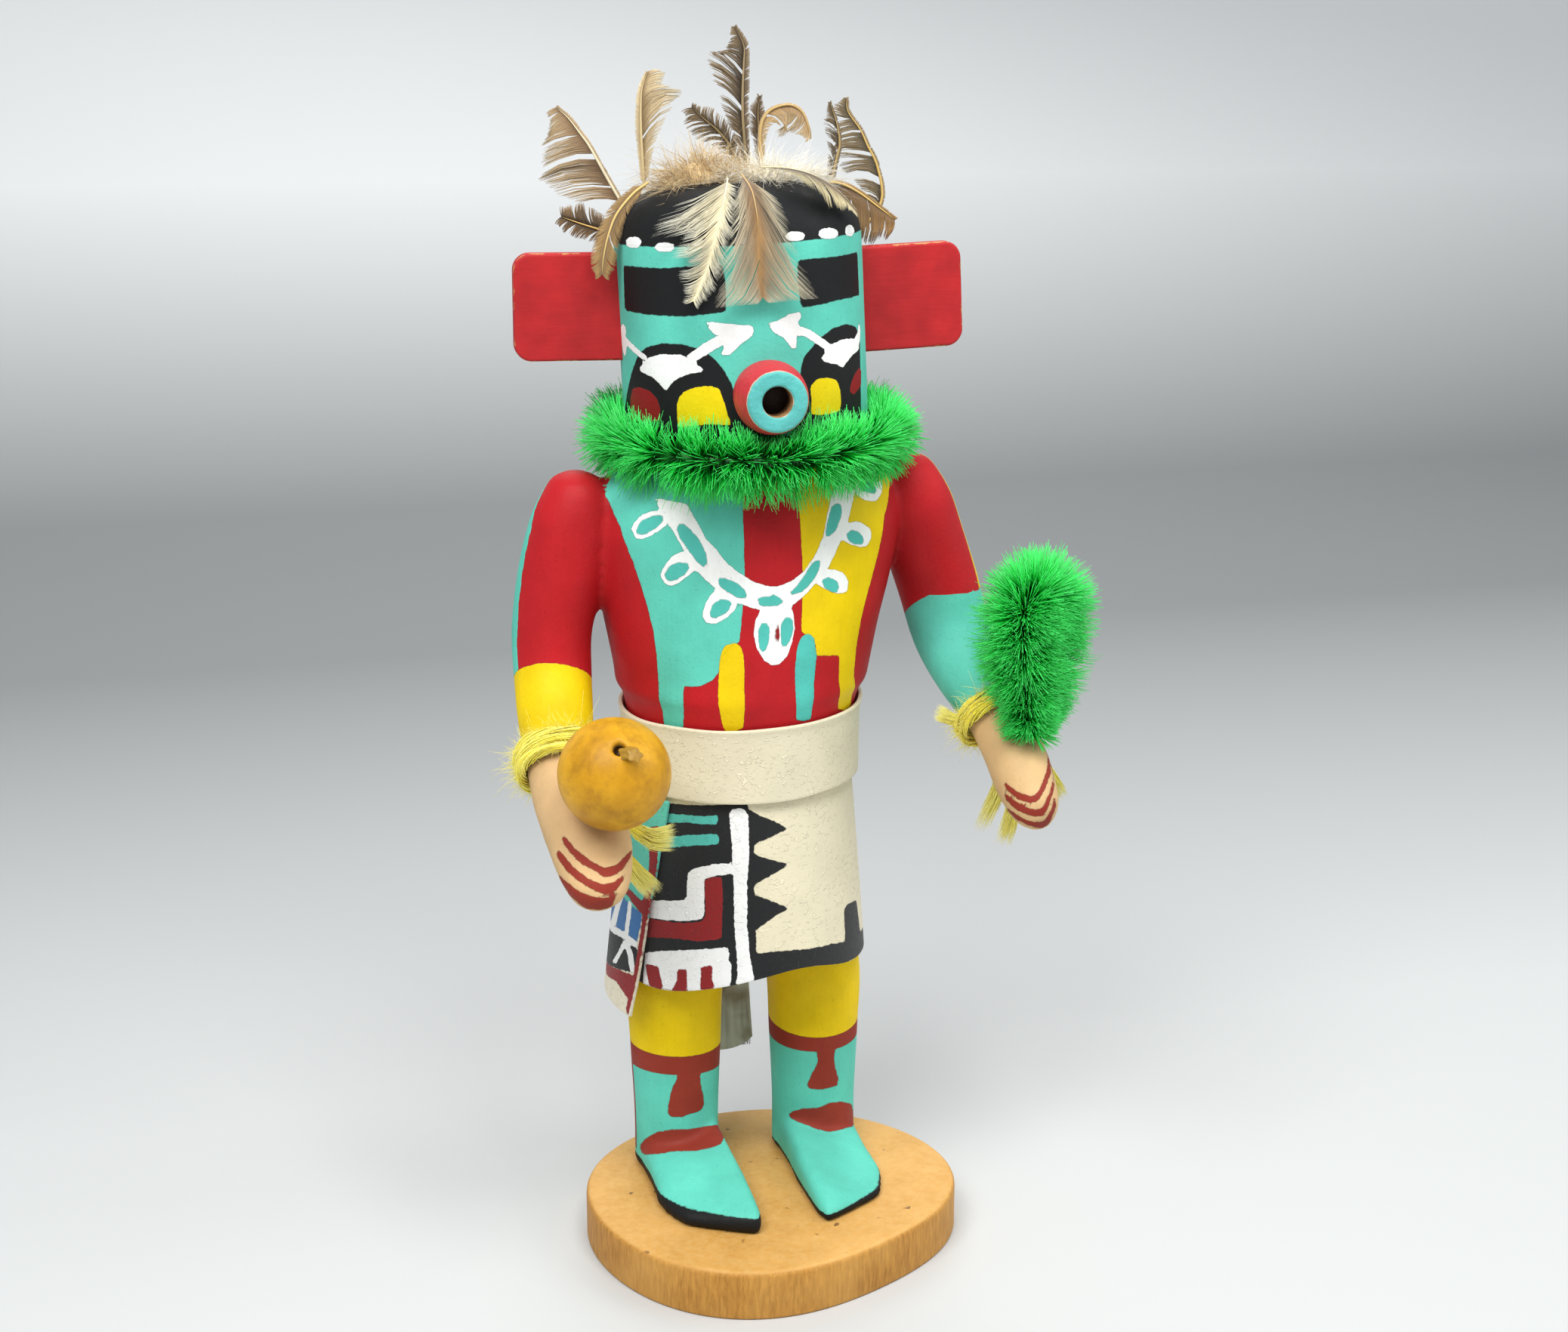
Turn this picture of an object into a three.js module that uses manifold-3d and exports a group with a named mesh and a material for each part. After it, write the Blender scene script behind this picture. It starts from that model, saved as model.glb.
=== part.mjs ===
// A carved and painted wooden doll about 305 mm tall, on a round slab of wood.
// Millimetres, +Z up. The doll faces -Y and its body axis is the Z axis; Z is 0 on the slab's underside.
// The figure is one carving: trunk, head, arms with hands, and legs with feet. Board ears and a turned
// snout are set into the head. A leather kilt, belt and hip panel, a tail strip, yarn ties, a gourd,
// two green brush pieces and a tuft of feathers are separate pieces on it.
import * as THREE from 'three';
import { mergeVertices } from 'three/addons/utils/BufferGeometryUtils.js';
import Module from 'manifold-3d';

const wasm = await Module();
wasm.setup();

// Driving dimensions
const GAP = 0.3;
const BASE_HEIGHT = 12.7;
const BASE_CENTRE = [0.7, -20.2];
const BASE_RADIUS = 46.9;
const HEAD_RADIUS = 30.4;
const HEAD_BOTTOM = 210;
const HEAD_TOP = 270.3;
const DOME_HEIGHT = 18.3;
const HEAD_PIVOT = new THREE.Vector3(0, 0, 235);
const HEAD_TURN = THREE.MathUtils.degToRad(-4.5);
const HEAD_TILT = THREE.MathUtils.degToRad(-2.7);
const EAR = { reach: 55.9, height: 26, thickness: 4.4, corner: 4.2 };
const EAR_SET = { '-1': { centreZ: 242.2, lean: 3.2 }, 1: { centreZ: 239.2, lean: 0 } };
const SNOUT = { height: 221.6, length: 12.2, bulge: 8.7, root: 8.1, tip: 7.1, bore: 3.6, boreDepth: 9 };
const BELT = { top: 140.4, bottom: 121, wall: 1.1 };
const KILT = { top: 126, wall: 1.0 };
const LEG_X = 19;
const GOURD = { centre: [-44.3, -49, 137.1], radius: 13.3 };

const COLOURS = {
  slab: 0xd9a45b, paint: 0xa3181f, ear: 0xb01a22, snout: 0xc8323c, leather: 0xe9e1c8, kilt: 0xe4dcc3,
  panel: 0x9f1b24, fur: 0x9b9a8a, brush: 0x12c43a, yarn: 0xf2e23a, gourd: 0xd89a2c, feather: 0xa58a63,
  down: 0xefe0b4,
};
const ROUGHNESS = {
  slab: 0.7, paint: 0.6, ear: 0.65, snout: 0.55, leather: 0.9, kilt: 0.9, panel: 0.8, fur: 0.9,
  brush: 0.8, yarn: 1.0, gourd: 0.4, feather: 0.7, down: 1.0,
};

// A value that changes smoothly along a list of stations, each { z, and named values }
function along(stations, key, z) {
  const last = stations.length - 1;
  if (z <= stations[0].z) return stations[0][key];
  if (z >= stations[last].z) return stations[last][key];
  const i = stations.findIndex((s) => s.z > z) - 1;
  const slope = (k) => {
    const a = stations[Math.max(0, k - 1)];
    const b = stations[Math.min(last, k + 1)];
    return (b[key] - a[key]) / (b.z - a.z);
  };
  const span = stations[i + 1].z - stations[i].z;
  const t = (z - stations[i].z) / span;
  const [t2, t3] = [t * t, t * t * t];
  return (2 * t3 - 3 * t2 + 1) * stations[i][key] + (t3 - 2 * t2 + t) * span * slope(i)
    + (3 * t2 - 2 * t3) * stations[i + 1][key] + (t3 - t2) * span * slope(i + 1);
}

// A closed body from a cylinder whose points are placed by t (0 at its start, 1 at its end), the angle
// about its axis, and reach (0 at the middle of an end, 1 on the wall)
function turned(sides, rings, place) {
  const geometry = new THREE.CylinderGeometry(1, 1, 1, sides, rings);
  const position = geometry.attributes.position;
  for (let i = 0; i < position.count; i += 1) {
    const [x, y, z] = [position.getX(i), position.getY(i), position.getZ(i)];
    position.setXYZ(i, ...place(y + 0.5, Math.atan2(z, x), Math.min(1, Math.hypot(x, z))));
  }
  return geometry;
}

// A closed ring from a torus with a flat section of so many rows: wall is 0 inside and 1 outside
function hoop(steps, rows, place) {
  const section = 2 * (rows + 1);
  const geometry = new THREE.TorusGeometry(2, 1, section, steps);
  const position = geometry.attributes.position;
  for (let j = 0; j <= section; j += 1) {
    const k = j % section;
    const wall = k <= rows ? 1 : 0;
    const t = wall ? k / rows : (section - 1 - k) / rows;
    for (let i = 0; i <= steps; i += 1) {
      const angle = (2 * Math.PI * (i % steps)) / steps;
      position.setXYZ(j * (steps + 1) + i, ...place(t, angle, wall));
    }
  }
  return geometry;
}

// Joining and cutting
function solid(geometry) {
  const bare = geometry.clone();
  bare.deleteAttribute('normal');
  bare.deleteAttribute('uv');
  const merged = mergeVertices(bare, 1e-3);
  const points = merged.attributes.position.array;
  const index = Array.from(merged.index.array);
  const at = (i) => new THREE.Vector3().fromArray(points, 3 * i);
  let volume = 0;
  const faces = [];
  for (let f = 0; f < index.length; f += 3) {
    const [a, b, c] = index.slice(f, f + 3);
    if (a === b || b === c || c === a) continue;
    volume += at(a).dot(at(b).cross(at(c)));
    faces.push([a, b, c]);
  }
  const corners = faces.flatMap(([a, b, c]) => (volume > 0 ? [a, b, c] : [a, c, b]));
  return new wasm.Manifold(new wasm.Mesh({
    numProp: 3, vertProperties: new Float32Array(points), triVerts: new Uint32Array(corners),
  }));
}

function surface(body) {
  const mesh = body.getMesh();
  const geometry = new THREE.BufferGeometry();
  const points = [];
  for (let i = 0; i < mesh.numVert; i += 1) {
    points.push(...mesh.vertProperties.slice(i * mesh.numProp, i * mesh.numProp + 3));
  }
  geometry.setAttribute('position', new THREE.Float32BufferAttribute(points, 3));
  geometry.setIndex(Array.from(mesh.triVerts));
  return geometry;
}

function joined(bodies) {
  return bodies.reduce((sum, body) => sum.add(body));
}

// The trunk: nearly round, narrowest under the belt, widest where the arms join
const TRUNK = [
  { z: 82, wide: 27.2, deep: 26.2, x: -0.9 },
  { z: 102, wide: 27.1, deep: 26.4, x: -0.9 },
  { z: 118, wide: 27.0, deep: 26.2, x: -0.9 },
  { z: 128, wide: 27.6, deep: 26.9, x: -0.9 },
  { z: 142.3, wide: 30.2, deep: 29.2, x: -0.8 },
  { z: 145.3, wide: 32.2, deep: 29.6, x: -0.6 },
  { z: 150, wide: 33.1, deep: 29.0, x: -0.3 },
  { z: 160, wide: 35.2, deep: 28.0, x: -0.1 },
  { z: 172, wide: 38.0, deep: 27.2, x: 0.3 },
  { z: 186, wide: 40.2, deep: 26.2, x: 0.6 },
  { z: 196, wide: 37.4, deep: 24.4, x: 0.6 },
  { z: 203, wide: 29.0, deep: 21.8, x: 0.4 },
  { z: 208, wide: 22.6, deep: 20.4, x: 0.2 },
  { z: 213, wide: 22.0, deep: 20.0, x: 0 },
];
const TRUNK_SIDES = 28;

function trunk(offset = 0) {
  const last = TRUNK.length - 1;
  return solid(turned(TRUNK_SIDES, last, (t, angle, reach) => {
    const { z, wide, deep, x } = TRUNK[Math.round(t * last)];
    return [x + reach * (wide + offset) * Math.cos(angle), reach * (deep + offset) * Math.sin(angle), z];
  }));
}

// The head: a straight round block with a flat-topped dome, turned and leaning a little on the neck
const HEAD_POSE = new THREE.Matrix4()
  .makeTranslation(HEAD_PIVOT)
  .multiply(new THREE.Matrix4().makeRotationY(HEAD_TILT))
  .multiply(new THREE.Matrix4().makeRotationZ(HEAD_TURN))
  .multiply(new THREE.Matrix4().makeTranslation(HEAD_PIVOT.clone().negate()));

function head(offset = 0) {
  const [domePower, domeSteps, jaw] = [3.2, 6, 1.6];
  const outline = [
    new THREE.Vector2(0, HEAD_BOTTOM - offset),
    new THREE.Vector2(HEAD_RADIUS - jaw + offset, HEAD_BOTTOM - offset),
    new THREE.Vector2(HEAD_RADIUS + offset, HEAD_BOTTOM + jaw),
  ];
  for (let i = 0; i < domeSteps; i += 1) {
    const lean = (Math.PI / 2) * (i / domeSteps);
    const [out, up] = [Math.cos(lean) ** (2 / domePower), Math.sin(lean) ** (2 / domePower)];
    outline.push(new THREE.Vector2(
      (HEAD_RADIUS + offset) * out,
      HEAD_TOP - DOME_HEIGHT + (DOME_HEIGHT + offset) * up,
    ));
  }
  outline.push(new THREE.Vector2(0, HEAD_TOP + offset));
  const block = new THREE.LatheGeometry(outline, TRUNK_SIDES);
  block.rotateX(Math.PI / 2);
  return solid(block.applyMatrix4(HEAD_POSE));
}

// A limb: oval sections strung on a smooth curve, each station [x, y, z, half width, half height]
function limb(stations, sides, rings, offset = 0) {
  const path = new THREE.CatmullRomCurve3(stations.map(([x, y, z]) => new THREE.Vector3(x, y, z)));
  const sizes = new THREE.CatmullRomCurve3(stations.map(([, , , wide, high]) => new THREE.Vector3(wide, high, 0)));
  const across = new THREE.Vector3(1, 0, 0);
  return solid(turned(sides, rings, (t, angle, reach) => {
    const centre = path.getPoint(t);
    const size = sizes.getPoint(t);
    const normal = new THREE.Vector3().crossVectors(path.getTangent(t), across).normalize();
    const side = new THREE.Vector3().crossVectors(normal, path.getTangent(t));
    centre.addScaledVector(side, reach * (size.x + offset) * Math.cos(angle));
    centre.addScaledVector(normal, reach * (size.y + offset) * Math.sin(angle));
    return centre.toArray();
  }));
}

// The arm on the -X side holds the gourd, the one on the +X side the brush; both bend forward
const GOURD_ARM = [
  [-41.4, 0, 200.2, 3, 3.2], [-41.8, 0, 197.2, 7.2, 7.8], [-42.9, 0, 189, 10.3, 10.8],
  [-46.3, 0.4, 176, 10.7, 11], [-49.2, 0.4, 161, 10, 10.6], [-49.8, -2.6, 149, 9.7, 10],
  [-50.8, -10.5, 140, 9.3, 9.2], [-52.2, -21, 132.6, 8.0, 7.8], [-51.0, -29.5, 126, 9.4, 7.3],
  [-48.9, -38.5, 119, 10.2, 7.3], [-48.8, -47, 112.6, 8.8, 6.6], [-49.4, -52.6, 108.8, 6.2, 5],
  [-49.6, -55, 107.2, 2.6, 2.4],
];
const BRUSH_ARM = [
  [42.0, 0, 200.4, 3, 3.2], [42.8, 0, 197.4, 7.2, 7.8], [44.8, 0, 189, 10.2, 10.8],
  [48.5, 0, 178, 10.5, 11], [52.6, 0, 166, 10.5, 10.8], [55.2, -3.4, 154, 10.1, 10.2],
  [58.4, -11.4, 144.6, 9.6, 9.4], [61.2, -22, 136, 8.0, 7.8], [62.4, -30, 129.6, 7.8, 7.8],
  [63.0, -38, 122.6, 7.4, 8.0], [63.6, -44.4, 117.2, 5.8, 6.6], [63.8, -47.6, 114.4, 2.6, 3.2],
];
const ARM_SIDES = 12;
const ARM_RINGS = 16;

function arms(offset = 0) {
  return [GOURD_ARM, BRUSH_ARM].map((stations) => limb(stations, ARM_SIDES, ARM_RINGS, offset));
}

// A leg: a flattened column, side is -1 or +1 along X
function leg(side) {
  const stations = [
    { z: BASE_HEIGHT + GAP + 1, wide: 11.2, deep: 10.8, x: LEG_X },
    { z: 28, wide: 11.2, deep: 10.6, x: LEG_X },
    { z: 46, wide: 12.0, deep: 11.0, x: LEG_X },
    { z: 66, wide: 12.7, deep: 11.6, x: LEG_X - 0.4 },
    { z: 90, wide: 12.9, deep: 12.0, x: 13.6 },
  ];
  const [low, high] = [stations[0].z, stations[stations.length - 1].z];
  return solid(turned(18, 5, (t, angle, reach) => {
    const z = low + (high - low) * t;
    return [
      side * along(stations, 'x', z) + reach * along(stations, 'wide', z) * Math.cos(angle),
      reach * along(stations, 'deep', z) * Math.sin(angle), z,
    ];
  }));
}

// A foot: its sole has a round heel and is longest on the inner side, and its top slopes down to the
// toe and to the outer side
function foot(side) {
  const reachToe = side < 0 ? 0 : 1.4;
  const sole = new THREE.CatmullRomCurve3([
    [LEG_X + 10.8, 2], [LEG_X + 10.4, -14], [LEG_X + 11, -27], [LEG_X + 7.2, -38], [LEG_X - 2, -44],
    [LEG_X - 9.4, -47.8], [LEG_X - 11.2, -44], [LEG_X - 11.4, -28], [LEG_X - 10.8, -12],
    [LEG_X - 10.6, 2], [LEG_X - 7, 9.4], [LEG_X, 11.6], [LEG_X + 7, 9.4],
  ].map(([x, y]) => new THREE.Vector3(side * x, y + (y < -20 ? reachToe : 0), 0)), true, 'catmullrom', 0.3);
  const middle = new THREE.Vector3(side * LEG_X, -16, 0);
  const top = (x, y) => Math.max(
    15.6, 25.4 - 1.1 * reachToe + 0.17 * Math.min(0, y + 8) - 0.24 * Math.max(0, side * x - 10),
  );
  // [share of the outline, share of the height] from the sole up over the instep
  const section = [[0.98, 0], [1, 0.16], [1, 0.46], [0.955, 0.78], [0.82, 0.95], [0.5, 1]];
  return solid(turned(26, section.length - 1, (t, angle, reach) => {
    const [spread, rise] = section[Math.round(t * (section.length - 1))];
    const edge = sole.getPoint((angle / (2 * Math.PI) + 1) % 1);
    const point = middle.clone().lerp(edge, spread * reach);
    const low = BASE_HEIGHT + GAP;
    return [point.x, point.y, low + rise * (top(point.x, point.y) - low)];
  }));
}

function figure() {
  return joined([
    trunk(), head(), ...arms(), leg(-1), leg(1), foot(-1), foot(1),
  ]);
}

// Board ears, flush against the sides of the head; one leans back level on the tilted head
function ear(side) {
  const { reach, height, thickness, corner } = EAR;
  const { centreZ, lean } = EAR_SET[side];
  const inner = HEAD_RADIUS - 4;
  const board = new THREE.Shape();
  board.moveTo(inner, -height / 2);
  board.lineTo(reach - corner, -height / 2);
  board.absarc(reach - corner, corner - height / 2, corner, -Math.PI / 2, 0);
  board.absarc(reach - corner, height / 2 - corner, corner, 0, Math.PI / 2);
  board.lineTo(inner, height / 2);
  const plate = new THREE.ExtrudeGeometry(board, {
    depth: thickness - 1, bevelThickness: 0.5, bevelSize: 0.5, bevelOffset: -0.5, bevelSegments: 1, curveSegments: 4,
  });
  plate.translate(0, 0, 0.5 - thickness / 2).rotateX(Math.PI / 2);
  if (side < 0) plate.rotateZ(Math.PI);
  const middle = side * (reach + HEAD_RADIUS) / 2;
  plate.translate(-middle, 0, 0).rotateY(THREE.MathUtils.degToRad(lean)).translate(middle, 0, centreZ);
  return solid(plate.applyMatrix4(HEAD_POSE)).subtract(head(GAP));
}

// The snout: a turned barrel with a bore in its end, standing on the face
function snout() {
  const { height, length, bulge, root, tip, bore, boreDepth } = SNOUT;
  const face = HEAD_RADIUS - 2;
  const front = HEAD_RADIUS + length;
  const barrel = new THREE.SplineCurve([
    new THREE.Vector2(root, face), new THREE.Vector2(bulge - 0.1, face + 4),
    new THREE.Vector2(bulge, face + 6.4), new THREE.Vector2(bulge - 0.5, face + 10),
    new THREE.Vector2(tip, front - 0.4),
  ]);
  const outline = [
    new THREE.Vector2(0, face), ...barrel.getPoints(5), new THREE.Vector2(tip - 0.6, front),
    new THREE.Vector2(bore, front), new THREE.Vector2(bore, front - boreDepth),
    new THREE.Vector2(0, front - boreDepth),
  ];
  const body = new THREE.LatheGeometry(outline, 18);
  body.rotateX(Math.PI).translate(0, 0, height);
  return solid(body.applyMatrix4(HEAD_POSE)).subtract(head(GAP));
}

// The room the snout needs, straight out of the face
function snoutRoom() {
  const room = new THREE.CylinderGeometry(SNOUT.bulge + GAP, SNOUT.bulge + GAP, HEAD_RADIUS + 30, 24);
  room.translate(0, -(HEAD_RADIUS + 30) / 2, 0).translate(0, 0, SNOUT.height);
  return solid(room.applyMatrix4(HEAD_POSE));
}

// Leather: the kilt hugs the hips, flares to a slanting hem, and its top is under the belt
const kiltOuter = (z) => THREE.MathUtils.mapLinear(Math.min(z, 118), 76, 118, 32.6, 29.0);
const frontAngle = (angle) => angle + Math.PI / 2;

function kiltHem(angle) {
  const lowest = THREE.MathUtils.degToRad(-75);
  return 74.4 - 3.2 * Math.cos(frontAngle(angle) - lowest);
}

function kilt() {
  return solid(hoop(36, 3, (t, angle, wall) => {
    const low = kiltHem(angle);
    const z = low + (KILT.top - low) * t;
    const spread = Math.max(kiltOuter(z), along(TRUNK, 'wide', z) + GAP + KILT.wall);
    const radius = spread - (wall ? 0 : KILT.wall);
    return [-0.9 + radius * Math.cos(angle), (radius - 0.7) * Math.sin(angle), z];
  }));
}

function belt() {
  const dip = THREE.MathUtils.degToRad(-40);
  return solid(hoop(36, 2, (t, angle, wall) => {
    const slant = 1.4 * Math.cos(frontAngle(angle) - dip);
    const z = THREE.MathUtils.lerp(BELT.bottom - 0.5 * slant, BELT.top - slant, t);
    const bare = along(TRUNK, 'wide', z) + GAP;
    const radius = Math.max(bare, THREE.MathUtils.mapLinear(z, 121, 128, 29.5, 29.6))
      + (wall ? BELT.wall : 0);
    return [-0.9 + radius * Math.cos(angle), (radius - 0.6) * Math.sin(angle), z];
  }));
}

// The hip panel: a strip of leather hanging from under the belt on the -X side
function hipPanel() {
  const [front, back] = [-51, -112].map(THREE.MathUtils.degToRad);
  const [low, high, wall] = [62.4, 119.2, 1.0];
  const plate = new THREE.BoxGeometry(1, 1, 1, 7, 1, 4);
  const position = plate.attributes.position;
  for (let i = 0; i < position.count; i += 1) {
    const [across, through, up] = [position.getX(i) + 0.5, position.getY(i) + 0.5, position.getZ(i) + 0.5];
    const z = low + (high - low) * up - 1.6 * (1 - up) * across;
    const edge = THREE.MathUtils.lerp(back, front - 0.28 * (1 - up), across);
    const radius = kiltOuter(z) + GAP + 0.3 + wall * through + 0.9 * (1 - up) ** 2;
    position.setXYZ(i, -0.9 + radius * Math.sin(edge), -(radius - 0.7) * Math.cos(edge), z);
  }
  return solid(plate);
}

// The tail: a narrow strip of pelt hanging behind, from under the belt to the calves
function tail() {
  const [low, high, wall] = [28.4, 119.2, 2.4];
  const strip = new THREE.BoxGeometry(1, 1, 1, 4, 1, 4);
  const position = strip.attributes.position;
  for (let i = 0; i < position.count; i += 1) {
    const [across, through, up] = [position.getX(i), position.getY(i) + 0.5, position.getZ(i) + 0.5];
    const half = THREE.MathUtils.lerp(8.4, 5.4, up);
    const corner = up < 0.01 ? 16 * Math.abs(across) ** 2.4 : 0;
    const z = low + (high - low) * up + corner;
    const radius = kiltOuter(Math.max(z, 74)) + 0.9 + GAP + wall * through;
    position.setXYZ(i, 2.2 - 1.4 * up + 2 * half * across, radius - 0.8 - 1.6 * Math.max(0, 0.5 - up), z);
  }
  return solid(strip);
}

// The gourd rests on the hand, with its dry stem on top
function gourd() {
  const ball = new THREE.SphereGeometry(GOURD.radius, 16, 11);
  const stem = new THREE.CylinderGeometry(1.1, 1.6, 5, 6);
  stem.translate(0, GOURD.radius + 1, 0).rotateX(THREE.MathUtils.degToRad(62));
  stem.rotateZ(THREE.MathUtils.degToRad(18));
  return joined([solid(ball), solid(stem)]).translate(GOURD.centre).subtract(arms(GAP)[0]);
}

// The yarn at a wrist: a flat band of turns across the limb's curve, with its ends hanging as tufts
function atWrist(stations) {
  const path = new THREE.CatmullRomCurve3(stations.map(([x, y, z]) => new THREE.Vector3(x, y, z)));
  const [, , , wide, high] = stations[7];
  const place = 7 / (stations.length - 1);
  const direction = path.getTangent(place);
  const normal = new THREE.Vector3().crossVectors(direction, new THREE.Vector3(1, 0, 0)).normalize();
  const side = new THREE.Vector3().crossVectors(normal, direction);
  return (forward, degrees, out) => path.getPoint(place)
    .addScaledVector(direction, forward)
    .addScaledVector(side, (wide + out) * Math.cos(THREE.MathUtils.degToRad(degrees)))
    .addScaledVector(normal, (high + out) * Math.sin(THREE.MathUtils.degToRad(degrees)))
    .toArray();
}

function wristBand(stations, offset = 0) {
  const [halfWidth, thickness] = [4, 2.6];
  const at = atWrist(stations);
  return solid(hoop(ARM_SIDES, 2, (t, angle, wall) => {
    const across = 2 * t - 1;
    const out = wall ? 2 * GAP + thickness - 0.9 * across ** 2 + offset : 2 * GAP;
    return at(across * (halfWidth + offset), THREE.MathUtils.radToDeg(angle), out);
  }));
}

function wristYarn(stations, tufts) {
  const at = atWrist(stations);
  const ends = tufts.map(([degrees, to, spread]) => limb([
    [...at(0, degrees, 2.4), 1.4, 1.4], [...to, spread, 0.8 * spread],
  ], 7, 1));
  return joined([wristBand(stations), ...ends]).subtract(limb(stations, ARM_SIDES, ARM_RINGS, GAP));
}

// Tufts: [degrees round the wrist, the end's middle, the end's half width]
const GOURD_YARN_TUFTS = [[-35, [-27, -22, 115], 3.8], [-62, [-31.8, -24, 98.6], 2.8]];
const BRUSH_YARN_TUFTS = [
  [178, [47.2, -19, 136], 2.2], [-112, [59.2, -20, 105.4], 2.0], [-84, [64, -22, 102], 2.2],
  [-45, [80.6, -18, 109.6], 1.8],
];

// The ruff: a thick ring of green brush round the neck
function ruff() {
  const [ringRadius, tubeRadius] = [32.8, 9.7];
  const ring = new THREE.TorusGeometry(ringRadius, tubeRadius, 7, 24);
  ring.scale(1, 1, 0.96).rotateY(THREE.MathUtils.degToRad(-1.5)).rotateX(THREE.MathUtils.degToRad(4));
  ring.translate(2.0, -1, 208.6);
  return [trunk(GAP), head(GAP), snoutRoom(), ...arms(GAP)]
    .reduce((rest, body) => rest.subtract(body), solid(ring));
}

// The brush in the hand: one strand folded over, its two runs side by side
function handBrush() {
  const strand = (from, to, radius) => limb([
    [...from, radius * 0.5, radius * 0.5], [...mix(from, to, 0.12), radius * 0.86, radius * 0.86],
    [...mix(from, to, 0.5), radius, radius], [...mix(from, to, 0.88), radius, radius],
    [...to, radius * 0.46, radius * 0.46],
  ], 10, 5);
  return joined([
    strand([63.6, -38, 131.5], [62.4, -37, 181], 10.2),
    strand([66.6, -32, 133], [72, -29, 178], 10.4),
  ]).subtract(arms(GAP)[1]).subtract(wristBand(BRUSH_ARM, GAP));
}

function mix(from, to, share) {
  return from.map((value, i) => value + (to[i] - value) * share);
}

// The down: a pad of fluff on the crown, higher on the -X side, that the feathers are stuck into
const DOWN = [{ centre: [-11, 0, 268], radii: [14, 14, 12] }, { centre: [6, -5, 268], radii: [16, 15, 7.4] }];

function downPad(offset = 0) {
  return joined(DOWN.map(({ centre, radii }) => {
    const lobe = new THREE.SphereGeometry(1, 12, 7);
    lobe.scale(...radii.map((radius) => radius + offset)).translate(...centre);
    return solid(lobe);
  })).subtract(head(GAP));
}

// Square to the head's surface, for feathers that lie on it
function outOfHead(point) {
  const rise = Math.max(0, (point.z - HEAD_TOP + DOME_HEIGHT) / DOME_HEIGHT);
  const across = new THREE.Vector3(point.x, point.y, 0);
  const spread = (across.length() / HEAD_RADIUS) ** 2.2 / HEAD_RADIUS;
  return across.setLength(spread).setZ(rise ** 2.2 / DOME_HEIGHT).normalize();
}

// A feather: a thin blade along its quill, stations [x, y, z, width to the left, width to the right]
function feather(stations, facing) {
  const path = new THREE.CatmullRomCurve3(stations.map(([x, y, z]) => new THREE.Vector3(x, y, z)));
  const widths = new THREE.CatmullRomCurve3(stations.map(([, , , left, right]) => new THREE.Vector3(left, right, 0)));
  const halfThickness = 0.4;
  const blade = new THREE.BoxGeometry(1, 1, 1, 1, 1, stations.length + 1);
  const position = blade.attributes.position;
  for (let i = 0; i < position.count; i += 1) {
    const [across, through, t] = [position.getX(i), 2 * position.getY(i), position.getZ(i) + 0.5];
    const point = path.getPoint(t);
    const tangent = path.getTangent(t);
    const side = new THREE.Vector3().crossVectors(facing(point), tangent).normalize();
    const normal = new THREE.Vector3().crossVectors(tangent, side);
    const width = widths.getPoint(t);
    point.addScaledVector(side, across > 0 ? width.x : -width.y).addScaledVector(normal, through * halfThickness);
    position.setXYZ(i, ...point.toArray());
  }
  return solid(blade).subtract(downPad(GAP)).subtract(head(GAP));
}

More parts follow.
